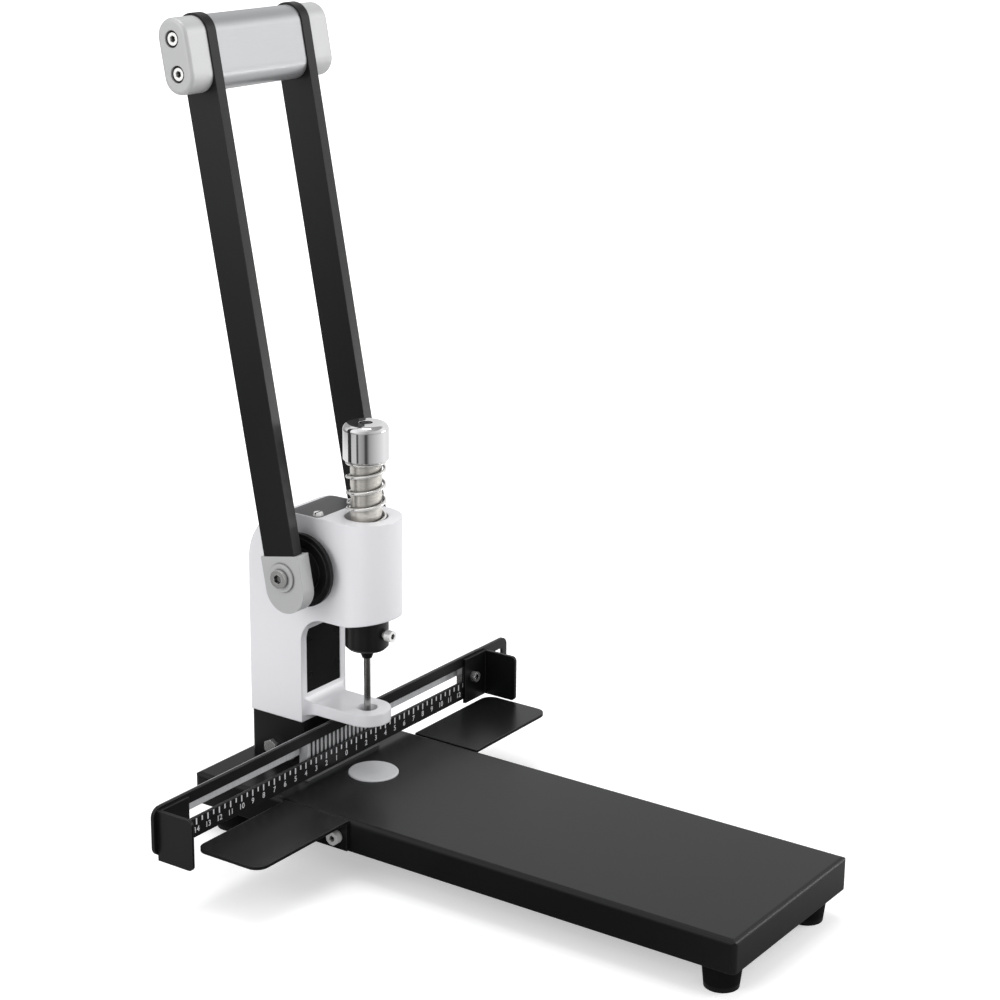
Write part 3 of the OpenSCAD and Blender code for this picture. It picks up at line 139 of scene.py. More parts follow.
class SharedEffects:
    """Shader groups that several finishes use."""

    def build(self) -> None:
        """Makes every group once."""
        self.powder_grain()
        self.drawn_grain()
        self.rubbed_edges()

    @staticmethod
    def start(name: str, inputs: dict[str, str], outputs: dict[str, str]) -> tuple[Graph, dict]:
        """Makes an empty group with its sockets.

        Args:
            name: The group's name.
            inputs: Input names to socket types.
            outputs: Output names to socket types.

        Returns:
            The group's graph and its input sockets by name.
        """
        tree = bpy.data.node_groups.new(name, "ShaderNodeTree")
        graph = Graph(tree)
        for label, kind in inputs.items():
            tree.interface.new_socket(label, in_out="INPUT", socket_type=kind)
        for label, kind in outputs.items():
            tree.interface.new_socket(label, in_out="OUTPUT", socket_type=kind)
        given = graph.add("NodeGroupInput").outputs
        return graph, {label: given[label] for label in inputs}

    def powder_grain(self) -> None:
        """Orange-peel grain of a sprayed coat: a fine noise for height and a broad one for sheen."""
        graph, given = self.start(
            Grain.POWDER.value,
            {"Vector": "NodeSocketVector", "Scale": "NodeSocketFloat", "Cloud Scale": "NodeSocketFloat"},
            {"Height": "NodeSocketFloat", "Tone": "NodeSocketFloat", "Cloud": "NodeSocketFloat"},
        )
        fine = graph.add("ShaderNodeTexNoise", None, {
            "Vector": given["Vector"], "Scale": given["Scale"], "Detail": 3.0, "Roughness": 0.55})
        speck = graph.add("ShaderNodeTexVoronoi", {"feature": "SMOOTH_F1"}, {
            "Vector": given["Vector"], "Scale": given["Scale"], "Smoothness": 0.8})
        cloud = graph.add("ShaderNodeTexNoise", None, {
            "Vector": given["Vector"], "Scale": given["Cloud Scale"], "Detail": 4.0, "Roughness": 0.6})
        bumps = graph.math("MULTIPLY", speck.outputs["Distance"], SPECK_SHARE)
        height = graph.math("ADD", fine.outputs["Fac"], bumps)
        graph.add("NodeGroupOutput", None, {
            "Height": height, "Tone": fine.outputs["Fac"], "Cloud": cloud.outputs["Fac"]})

    def drawn_grain(self) -> None:
        """Fine lines of drawn or turned metal: noise stretched along the lay, with a broad sheen noise."""
        graph, given = self.start(
            Grain.DRAWN.value,
            {"Vector": "NodeSocketVector", "Lay": "NodeSocketVector", "Scale": "NodeSocketFloat",
             "Cloud Scale": "NodeSocketFloat"},
            {"Height": "NodeSocketFloat", "Tone": "NodeSocketFloat", "Cloud": "NodeSocketFloat"},
        )
        stretched = graph.add("ShaderNodeVectorMath", {"operation": "MULTIPLY"}, {
            0: given["Vector"], 1: given["Lay"]})
        lines = graph.add("ShaderNodeTexNoise", None, {
            "Vector": stretched.outputs[0], "Scale": given["Scale"], "Detail": 5.0, "Roughness": 0.65})
        cloud = graph.add("ShaderNodeTexNoise", None, {
            "Vector": given["Vector"], "Scale": given["Cloud Scale"], "Detail": 3.0, "Roughness": 0.6})
        graph.add("NodeGroupOutput", None, {
            "Height": lines.outputs["Fac"], "Tone": lines.outputs["Fac"], "Cloud": cloud.outputs["Fac"]})

    def rubbed_edges(self) -> None:
        """Mask of the outer edges: how far the rounded normal leaves the face's own, broken up by a noise.
        The finishes lighten their colour under it, partly as wear and partly as a painted highlight.
        """
        graph, given = self.start(
            "rubbed_edges",
            {"Vector": "NodeSocketVector", "Rounded": "NodeSocketVector", "Normal": "NodeSocketVector",
             "Gain": "NodeSocketFloat"},
            {"Mask": "NodeSocketFloat"},
        )
        dot = graph.add("ShaderNodeVectorMath", {"operation": "DOT_PRODUCT"}, {
            0: given["Rounded"], 1: given["Normal"]})
        turn = graph.math("SUBTRACT", 1.0, dot.outputs["Value"])
        breakup = graph.add("ShaderNodeTexNoise", None, {
            "Vector": given["Vector"], "Scale": EDGE_BREAKUP_SCALE, "Detail": 4.0, "Roughness": 0.7})
        patch = graph.spread(breakup.outputs["Fac"], *EDGE_BREAKUP_SPREAD)
        mask = graph.math("MULTIPLY", graph.math("MULTIPLY", turn, given["Gain"]), patch)
        clamped = graph.add("ShaderNodeClamp", None, {"Value": mask})
        graph.add("NodeGroupOutput", None, {"Mask": clamped.outputs[0]})


@dataclass(frozen=True)
class Finish:
    """One finish: colour, gloss, grain, lighter edges that are partly wear and partly painted highlight, and
    painted shade in recesses.

    The grain sizes are noise scales per metre. The grain's depth, the edge radius and the painted shade's
    reach are in metres, and the painted shade's range is the openness from shut to clear.
    """

    name: str
    colour: Colour
    roughness: float
    grain: Grain = Grain.POWDER
    lay: Lay = Lay.EVEN
    scale: float = 1400.0
    cloud_scale: float = 9.0
    depth: float = 0.00003
    tone: float = 0.12
    gloss_spread: float = 0.06
    edge_radius: float = 0.0007
    # Edges go towards this colour: partly wear, partly painted highlight.
    edge_colour: Colour = (0.2, 0.2, 0.2)
    edge_gain: float = 0.0
    metallic: float = 0.0
    specular: float = 0.5
    coat: float = 0.0
    coat_roughness: float = 0.1
    # Painted shade in recesses: its strength, its reach and its range of openness.
    grime: float = 0.0
    grime_reach: float = 0.003
    grime_range: tuple[float, float] = (0.42, 0.82)

    def material(self) -> bpy.types.Material:
        """Builds the finish as a material, or returns it if it is there already."""
        label = f"{self.name}_finish"
        made = bpy.data.materials.get(label)
        if made is not None:
            return made
        made = bpy.data.materials.new(label)
        made.use_nodes = True
        graph = Graph(made.node_tree)
        place = graph.add("ShaderNodeTexCoord").outputs["Object"]
        grain = graph.group(self.grain.value, self.grain_inputs(place))
        rounded = graph.add("ShaderNodeBevel", {"samples": 6}, {"Radius": self.edge_radius}).outputs["Normal"]
        face = graph.add("ShaderNodeNewGeometry").outputs["Normal"]
        edges = graph.group("rubbed_edges", {
            "Vector": place, "Rounded": rounded, "Normal": face, "Gain": self.edge_gain})
        bump = graph.add("ShaderNodeBump", None, {
            "Strength": 1.0, "Distance": self.depth, "Height": grain.outputs["Height"], "Normal": rounded})
        shade = graph.add("ShaderNodeBsdfPrincipled", None, {
            "Base Color": self.grimed(graph, self.colour_socket(graph, grain, edges.outputs["Mask"])),
            "Roughness": graph.spread(grain.outputs["Cloud"], self.roughness - self.gloss_spread,
                                      self.roughness + self.gloss_spread),
            "Metallic": self.metallic, "Specular IOR Level": self.specular,
            "Coat Weight": self.coat, "Coat Roughness": self.coat_roughness,
            "Normal": bump.outputs["Normal"]})
        graph.add("ShaderNodeOutputMaterial", None, {"Surface": shade.outputs[0]})
        LOG.info("finish %s", self.name)
        return made

    def grimed(self, graph: Graph, colour: bpy.types.NodeSocket) -> bpy.types.NodeSocket:
        """Paints shade into the sockets, slots and gaps of a finish that has painted shade, where ambient
        occlusion finds the surroundings close.

        Args:
            graph: The material's graph.
            colour: The colour without painted shade.

        Returns:
            The colour with painted shade in its recesses, or the unshaded one where the finish has none.
        """
        if self.grime == 0.0:
            return colour
        # Ambient occlusion marks recesses and gaps, and the colour is darkened there: painted shade.
        openness = graph.add("ShaderNodeAmbientOcclusion", {"samples": 8}, {"Distance": self.grime_reach})
        shut, clear = self.grime_range
        depth = graph.add("ShaderNodeMapRange", None, {
            "Value": openness.outputs["AO"], "From Min": shut, "From Max": clear,
            "To Min": self.grime, "To Max": 0.0})
        return graph.blend(depth.outputs["Result"], colour, PAINTED_SHADE)

    def grain_inputs(self, place: bpy.types.NodeSocket) -> dict:
        """Inputs of the finish's grain group."""
        inputs = {"Vector": place, "Scale": self.scale, "Cloud Scale": self.cloud_scale}
        if self.grain is Grain.DRAWN:
            inputs["Lay"] = self.lay.value
        return inputs

    def colour_socket(
        self, graph: Graph, grain: bpy.types.Node, mask: bpy.types.NodeSocket
    ) -> bpy.types.NodeSocket:
        """Colour with the grain's light and dark and the lighter edges, partly wear and partly painted
        highlight.

        Args:
            graph: The material's graph.
            grain: The placed grain group.
            mask: The edge mask.

        Returns:
            The colour's socket.
        """
        dark = tuple(c * (1.0 - self.tone) for c in self.colour) + (1.0,)
        light = tuple(min(1.0, c * (1.0 + self.tone)) for c in self.colour) + (1.0,)
        body = graph.blend(grain.outputs["Tone"], dark, light)
        # Lighter edges: partly wear, partly painted highlight.
        return graph.blend(mask, body, self.edge_colour + (1.0,))


# A finish with grime has its recesses darkened as painted shade.
BLACK_COAT = Finish("black_coat", (0.007, 0.007, 0.0074), 0.29, scale=1500.0, depth=0.000006, specular=0.22,
                    gloss_spread=0.03, edge_colour=(0.16, 0.16, 0.165), edge_gain=0.9)
ARM_COAT = Finish("arm_coat", (0.0045, 0.0045, 0.0048), 0.34, scale=1900.0, depth=0.00001, specular=0.34,
                  edge_colour=(0.07, 0.07, 0.073), edge_gain=0.9)
# Near-black and matt: on the throat panel and its screws it stands in for the column's shaded hollow, painted
# shade.
DULL_BLACK = Finish("dull_black", (0.003, 0.003, 0.0031), 0.7, scale=1500.0, depth=0.00003, tone=0.2,
                    specular=0.1)
WHITE_ENAMEL = Finish("white_enamel", (0.80, 0.797, 0.825), 0.3, scale=260.0, depth=0.00002, tone=0.01,
                      edge_radius=0.0012, coat=0.35, coat_roughness=0.12)
GREY_COVER = Finish("grey_cover", (0.047, 0.047, 0.05), 0.4, scale=1700.0, depth=0.00002, specular=0.4,
                    edge_colour=(0.16, 0.16, 0.17), edge_gain=0.8)
SATIN_SILVER = Finish("satin_silver", (0.42, 0.425, 0.435), 0.36, Grain.DRAWN, Lay.ALONG_X, scale=2600.0,
                      depth=0.000008, tone=0.06, gloss_spread=0.05, edge_colour=(0.74, 0.74, 0.75),
                      edge_gain=0.6, metallic=0.65)
SILVER_PAINT = Finish("silver_paint", (0.48, 0.483, 0.484), 0.42, scale=2600.0, depth=0.00001, tone=0.06,
                      gloss_spread=0.05, edge_colour=(0.72, 0.72, 0.72), edge_gain=0.5, metallic=0.2,
                      grime=0.8, grime_reach=0.002)
RAIL_SILVER = Finish("rail_silver", (0.6, 0.605, 0.62), 0.4, Grain.DRAWN, Lay.ALONG_Z, scale=2400.0,
                     depth=0.00003, tone=0.3, metallic=0.1)
# Its recess shade reaches far enough to darken the carrier's foot under the fence: painted shade.
RIBBED_SILVER = Finish("ribbed_silver", (0.56, 0.565, 0.58), 0.42, Grain.DRAWN, Lay.ALONG_Z, scale=2000.0,
                       depth=0.00001, tone=0.12, metallic=0.5, edge_radius=0.0003, grime=0.82,
                       grime_reach=0.006)
BRIGHT_STEEL = Finish("bright_steel", (0.92, 0.92, 0.91), 0.2, Grain.DRAWN, Lay.EVEN, scale=1800.0,
                      depth=0.000004, tone=0.08, metallic=0.4, edge_radius=0.0003, grime=0.97)
DARK_STEEL = Finish("dark_steel", (0.36, 0.355, 0.345), 0.2, Grain.DRAWN, Lay.EVEN, scale=1800.0,
                    depth=0.000004, tone=0.1, metallic=1.0, edge_radius=0.0004,
                    edge_colour=(0.75, 0.75, 0.74), edge_gain=0.8, grime=0.97, grime_reach=0.004)
BOLT_STEEL = Finish("bolt_steel", (0.6, 0.6, 0.59), 0.2, Grain.DRAWN, Lay.EVEN, scale=1800.0,
                    depth=0.000004, tone=0.1, metallic=0.8, edge_radius=0.0004,
                    edge_colour=(0.85, 0.85, 0.84), edge_gain=0.8, grime=0.97, grime_reach=0.004)
GROUND_STEEL = Finish("ground_steel", (0.76, 0.725, 0.675), 0.3, Grain.DRAWN, Lay.ROUND_Z, scale=900.0,
                      depth=0.000012, tone=0.34, metallic=0.85, edge_radius=0.0003, grime=0.8)
SPRING_STEEL = Finish("spring_steel", (0.9, 0.89, 0.87), 0.16, Grain.DRAWN, Lay.EVEN, scale=1600.0,
                      depth=0.000004, tone=0.08, metallic=0.8, edge_radius=0.0002, grime=0.6)
CHROME = Finish("chrome", (0.84, 0.84, 0.85), 0.06, Grain.DRAWN, Lay.ROUND_Z, scale=700.0, depth=0.000002,
                tone=0.02, gloss_spread=0.03, metallic=1.0, edge_radius=0.0005, grime=0.5)
BLACK_OXIDE = Finish("black_oxide", (0.006, 0.006, 0.0064), 0.34, Grain.DRAWN, Lay.ROUND_Z, scale=1300.0,
                     depth=0.000008, specular=0.35, edge_colour=(0.09, 0.09, 0.09), edge_gain=0.7)
RUBBER = Finish("rubber", (0.005, 0.005, 0.005), 0.6, scale=2300.0, depth=0.00004, specular=0.08)
BRONZE = Finish("bronze", (0.46, 0.31, 0.15), 0.3, Grain.DRAWN, Lay.ROUND_Z, depth=0.000008, metallic=1.0)
PAD_PLASTIC = Finish("pad_plastic", (0.53, 0.535, 0.55), 0.5, scale=900.0, depth=0.00003, tone=0.06,
                     edge_radius=0.0006, edge_colour=(0.72, 0.72, 0.73), edge_gain=0.8)
WHITE_INK = Finish("white_ink", (0.72, 0.72, 0.74), 0.55, scale=2600.0, depth=0.000003, tone=0.12)


def dress(finish: Finish, *names: str) -> None:
    """Gives the named nodes one finish.

    Args:
        finish: The finish.
        names: Names of CAD nodes.
    """
    for name in names:
        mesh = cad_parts[name].data
        mesh.materials.clear()
        mesh.materials.append(finish.material())
        LOG.info("dressed %s in %s", name, finish.name)


def add_piece(name: str, points: np.ndarray, faces: np.ndarray, finish: Finish, body: str, slot: str,
              smooth: bool) -> bpy.types.Object:
    """Makes a mesh object whose place is in its mesh.

    Args:
        name: The piece's name.
        points: Corner places in metres, one row each.
        faces: Corner numbers, one row a face.
        finish: Its finish.
        body: The body that it rides on.
        slot: The record's material slot; not used.
        smooth: Whether its faces are shaded smooth.

    Returns:
        The new object.
    """
    mesh = bpy.data.meshes.new(name)
    mesh.from_pydata(points.tolist(), [], faces.tolist())
    mesh.polygons.foreach_set("use_smooth", np.full(len(mesh.polygons), smooth))
    mesh.materials.append(finish.material())
    mesh.update()
    piece = bpy.data.objects.new(name, mesh)
    bpy.context.scene.collection.objects.link(piece)
    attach(piece, body)
    LOG.info("built %s: %d points", name, len(points))
    return piece


@dataclass
class PaperTable:
    """Deck, wings, feet and cutting pad."""

    coated: tuple[str, ...] = ("table_tray", "bottom_plate", "wing_left", "wing_right")
    bright: tuple[str, ...] = ("foot_screws", "wing_screws", "deck_bolts", "carrier_screws")
    hidden: tuple[str, ...] = ("anvil_block", "corner_posts")

    def dress(self) -> None:
        """Coats the sheet metal and sets off the pad, the feet and the screws."""
        dress(BLACK_COAT, *self.coated)
        dress(BRIGHT_STEEL, *self.bright)
        dress(GROUND_STEEL, *self.hidden)
        dress(RUBBER, "rubber_feet")
        dress(PAD_PLASTIC, "cutting_pad")


@dataclass
class Head:
    """Bracket, white casting, throat panel, top cover and bearings."""

    bearings: tuple[str, ...] = ("guide_sleeve", "shaft_bushes")

    def dress(self) -> None:
        """Enamels the casting and coats what is bolted to it."""
        dress(WHITE_ENAMEL, "head_casting")
        dress(BLACK_COAT, "head_bracket")
        # The throat panel and its screws go near-black and matt so that they read as the shaded hollow:
        # painted shade.
        dress(DULL_BLACK, "throat_panel", "throat_panel_screws")
        dress(GREY_COVER, "top_cover")
        dress(BRIGHT_STEEL, "top_cover_screws")
        dress(BOLT_STEEL, "side_bolts")
        dress(BRONZE, *self.bearings)


@dataclass
class Lever:
    """Shaft, gear, hubs, arms and grip."""

    drive: tuple[str, ...] = ("lever_shaft", "gear_sector", "gear_key", "hub_keys", "hub_dowels")
    painted: tuple[str, ...] = ("end_block_left", "end_block_right", "grip_cap_left", "grip_cap_right",
                                "pivot_washers")

    def dress(self) -> None:
        """Coats the arms and hubs and sets the silver pieces off from them."""
        dress(ARM_COAT, "arm_left", "arm_right")
        dress(BLACK_COAT, "hub_left", "hub_right")
        dress(GROUND_STEEL, *self.drive)
        dress(SATIN_SILVER, "grip_bar")
        dress(SILVER_PAINT, *self.painted)
        dress(BOLT_STEEL, "pivot_bolts")
        dress(BRIGHT_STEEL, "grip_screws")


@dataclass
class Plunger:
    """Plunger, cap, chuck, pin and the wound return spring; lengths in metres."""

    wire: float = 2.0 * MM
    mean_radius: float = 11.4 * MM
    seat_z: float = DECK_Z + 155.0 * MM
    length: float = 46.5 * MM
    travel: float = 34.0 * MM
    turns: float = 4.25
    start: float = math.radians(344.0)
    dead_turn: float = 0.6
    ease: float = 0.12
    rings_per_turn: int = 44
    sides: int = 14

    def build(self) -> None:
        """Winds the spring and sets it in place of the CAD's spring."""
        points, faces = self.wound_wire()
        spring = add_piece("wound_spring", points, faces, SPRING_STEEL, "base", "spring_steel", True)
        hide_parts("return_spring")
        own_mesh(spring)

    def climb(self, turn: np.ndarray) -> np.ndarray:
        """Height of the wire's centre over the seat.

        The active turns climb evenly; at each end a dead turn eases to lie flat on the seat or the cap.

        Args:
            turn: Turns from where the spring leaves its seat, below 0 and past the count on the dead turns.

        Returns:
            Heights in metres.
        """
        low = self.wire / 2
        high = self.length - self.wire / 2
        pitch = (self.length - 2 * self.wire) / self.turns
        straight = self.wire + pitch * turn
        soft = self.ease * pitch
        lifted = low + soft * np.logaddexp(0.0, (straight - low) / soft)
        return high - soft * np.logaddexp(0.0, (high - lifted) / soft)

    def wound_wire(self) -> tuple[np.ndarray, np.ndarray]:
        """Round wire carried along the winding: a circle in the plane across the path at each step.

        Returns:
            The points and the faces of the closed tube.
        """
        count = int(self.rings_per_turn * (self.turns + 2 * self.dead_turn)) + 1
        turn = np.linspace(-self.dead_turn, self.turns + self.dead_turn, count)
        angle = self.start + 2 * np.pi * turn
        outward = np.stack([np.cos(angle), np.sin(angle), np.zeros(count)], axis=1)
        centre = outward * self.mean_radius
        centre[:, 2] = self.climb(turn)
        along = np.gradient(centre, axis=0)
        along /= np.linalg.norm(along, axis=1, keepdims=True)
        side = np.cross(along, outward)
        around = np.linspace(0, 2 * np.pi, self.sides, endpoint=False)
        ring = (np.cos(around)[None, :, None] * outward[:, None, :]
                + np.sin(around)[None, :, None] * side[:, None, :])
        points = centre[:, None, :] + ring * self.wire / 2 + np.array([0, AXIS_Y, self.seat_z])
        return tube_faces(points)

    def dress(self) -> None:
        """Polishes the cap and leaves the working pieces in ground and blackened steel."""
        dress(GROUND_STEEL, "plunger")
        dress(DARK_STEEL, "punch_pin")
        dress(CHROME, "plunger_cap")
        dress(BLACK_OXIDE, "chuck", "cap_screw")
        dress(BRIGHT_STEEL, "chuck_screw", "spring_seat")


def tube_faces(rings: np.ndarray) -> tuple[np.ndarray, np.ndarray]:
    """Closes a stack of rings into a tube with a fan on each end.

    Args:
        rings: Points as rings by sides by 3, wound so that the faces look outwards.

    Returns:
        Points as rows and triangles as rows.
    """
    count, sides, _ = rings.shape
    grid = np.arange(count * sides).reshape(count, sides)
    a, b = grid[:-1], grid[1:]
    c, d = np.roll(b, -1, axis=1), np.roll(a, -1, axis=1)
    walls = np.concatenate([np.stack([a, d, c], axis=-1), np.stack([a, c, b], axis=-1)]).reshape(-1, 3)
    first, last = count * sides, count * sides + 1
    low = np.stack([np.full(sides, first), np.roll(grid[0], -1), grid[0]], axis=-1)
    high = np.stack([np.full(sides, last), grid[-1], np.roll(grid[-1], -1)], axis=-1)
    points = np.concatenate([rings.reshape(-1, 3), rings[[0, -1]].mean(axis=1)])
    return points, np.concatenate([walls, low, high])


@dataclass
class Gauge:
    """Fence with its printed scale, carrier and rail; lengths in metres."""

    face_y: float = AXIS_Y + 16.7 * MM
    ink: float = 0.02 * MM
    reach_cm: int = 14
    half_step: float = 5.0 * MM
    digit_z: float = DECK_Z + 7.4 * MM
    digit_h: float = 3.5 * MM
    digit_share: float = 0.7
    digit_swell: float = 0.02
    tick_top: float = DECK_Z + 14.6 * MM
    tick_w: float = 1.1 * MM
    long_tick: float = 4.0 * MM
    short_tick: float = 2.9 * MM
    bright: tuple[str, ...] = ("fence_screws", "rail_screws")

    def build(self) -> None:
        """Prints the ticks and the numbers on the fence's front."""
        add_piece("scale_ticks", *self.ticks(), WHITE_INK, "base", "black_coat", False)
        add_piece("scale_numbers", *self.numbers(), WHITE_INK, "base", "black_coat", False)

    def ticks(self) -> tuple[np.ndarray, np.ndarray]:
        """One thin bar each half centimetre, longer on the whole ones.

        Returns:
            The points and the faces of all the bars.
        """
        half_cm = np.arange(-2 * self.reach_cm, 2 * self.reach_cm + 1)
        tall = np.where(half_cm % 2 == 0, self.long_tick, self.short_tick)
        corner = np.array([[x, y, z] for x in (-1, 1) for y in (0, 1) for z in (0, 1)], float)
        points = np.empty((len(half_cm), 8, 3))
        points[:, :, 0] = half_cm[:, None] * self.half_step + corner[:, 0] * self.tick_w / 2
        points[:, :, 1] = self.face_y - self.ink + corner[:, 1] * self.ink
        points[:, :, 2] = self.tick_top - tall[:, None] * (1 - corner[:, 2])
        box = np.array([[0, 1, 3, 2], [4, 6, 7, 5], [0, 4, 5, 1],
                        [2, 3, 7, 6], [0, 2, 6, 4], [1, 5, 7, 3]])
        faces = (np.arange(len(half_cm))[:, None, None] * 8 + box).reshape(-1, 4)
        return points.reshape(-1, 3), faces

    def numbers(self) -> tuple[np.ndarray, np.ndarray]:
        """The centimetre numbers, counted outwards from the punch axis.

        Returns:
            The points and the triangles of all the numbers.
        """
        points, faces, used = [], [], 0
        for place in range(-self.reach_cm, self.reach_cm + 1):
            shape, corners = self.number_shape(abs(place))
            points.append(shape + np.array([2 * place * self.half_step, self.face_y, self.digit_z]))
            faces.append(corners + used)
            used += len(shape)
        return np.concatenate(points), np.concatenate(faces)

    def number_shape(self, value: int) -> tuple[np.ndarray, np.ndarray]:
        """One number as a thin solid that stands on the plane y = 0 and looks to -Y.

        Args:
            value: The number.

        Returns:
            Its points and triangles.
        """
        curve = bpy.data.curves.new("number", "FONT")
        curve.body = str(value)
        curve.size = self.digit_h / self.digit_share
        curve.align_x = "CENTER"
        curve.align_y = "CENTER"
        curve.extrude = self.ink / 2
        curve.offset = self.digit_h * self.digit_swell
        curve.resolution_u = 4
        holder = bpy.data.objects.new("number", curve)
        bpy.context.scene.collection.objects.link(holder)
        solid = holder.evaluated_get(bpy.context.evaluated_depsgraph_get())
        mesh = bpy.data.meshes.new_from_object(solid)
        mesh.calc_loop_triangles()
        flat = np.empty(len(mesh.vertices) * 3)
        mesh.vertices.foreach_get("co", flat)
        corners = np.empty(len(mesh.loop_triangles) * 3, dtype=np.int64)
        mesh.loop_triangles.foreach_get("vertices", corners)
        bpy.data.objects.remove(holder)
        bpy.data.curves.remove(curve)
        bpy.data.meshes.remove(mesh)
        flat = flat.reshape(-1, 3)
        turned = np.stack([flat[:, 0], -flat[:, 2] - self.ink / 2, flat[:, 1]], axis=1)
        return turned, corners.reshape(-1, 3)

    def dress(self) -> None:
        """Coats the fence and leaves the carrier and the rail in bare alloy."""
        dress(BLACK_COAT, "gauge_fence")
        dress(RIBBED_SILVER, "gauge_carrier")
        dress(RAIL_SILVER, "gauge_rail")
        dress(BRIGHT_STEEL, *self.bright)


@dataclass
class SideStops:
    """The two stops that slide along the fence."""

    plates: tuple[str, ...] = ("stop_left", "stop_right")
    clamps: tuple[str, ...] = ("stop_screw_left", "stop_screw_right", "stop_nut_left", "stop_nut_right")

    def dress(self) -> None:
        """Coats the plates and leaves their clamps in bare steel."""
        dress(BLACK_COAT, *self.plates)
        dress(BOLT_STEEL, *self.clamps)


@dataclass(frozen=True)
class Softbox:
    """One soft lamp: where it hangs, what it looks at, its size in metres and its power in watts."""

    name: str
    place: tuple[float, float, float]
    size: tuple[float, float]
    power: float
    target: tuple[float, float, float] = (0.0, 0.05, 0.2)

    def hang(self) -> None:
        """Makes the lamp."""
        lamp = bpy.data.lights.new(self.name, "AREA")
        lamp.shape = "RECTANGLE"
        lamp.size, lamp.size_y = self.size
        lamp.energy = self.power
        holder = bpy.data.objects.new(self.name, lamp)
        holder.location = self.place
        look = Vector(self.target) - Vector(self.place)
        holder.rotation_euler = look.to_track_quat("-Z", "Y").to_euler()
        bpy.context.scene.collection.objects.link(holder)


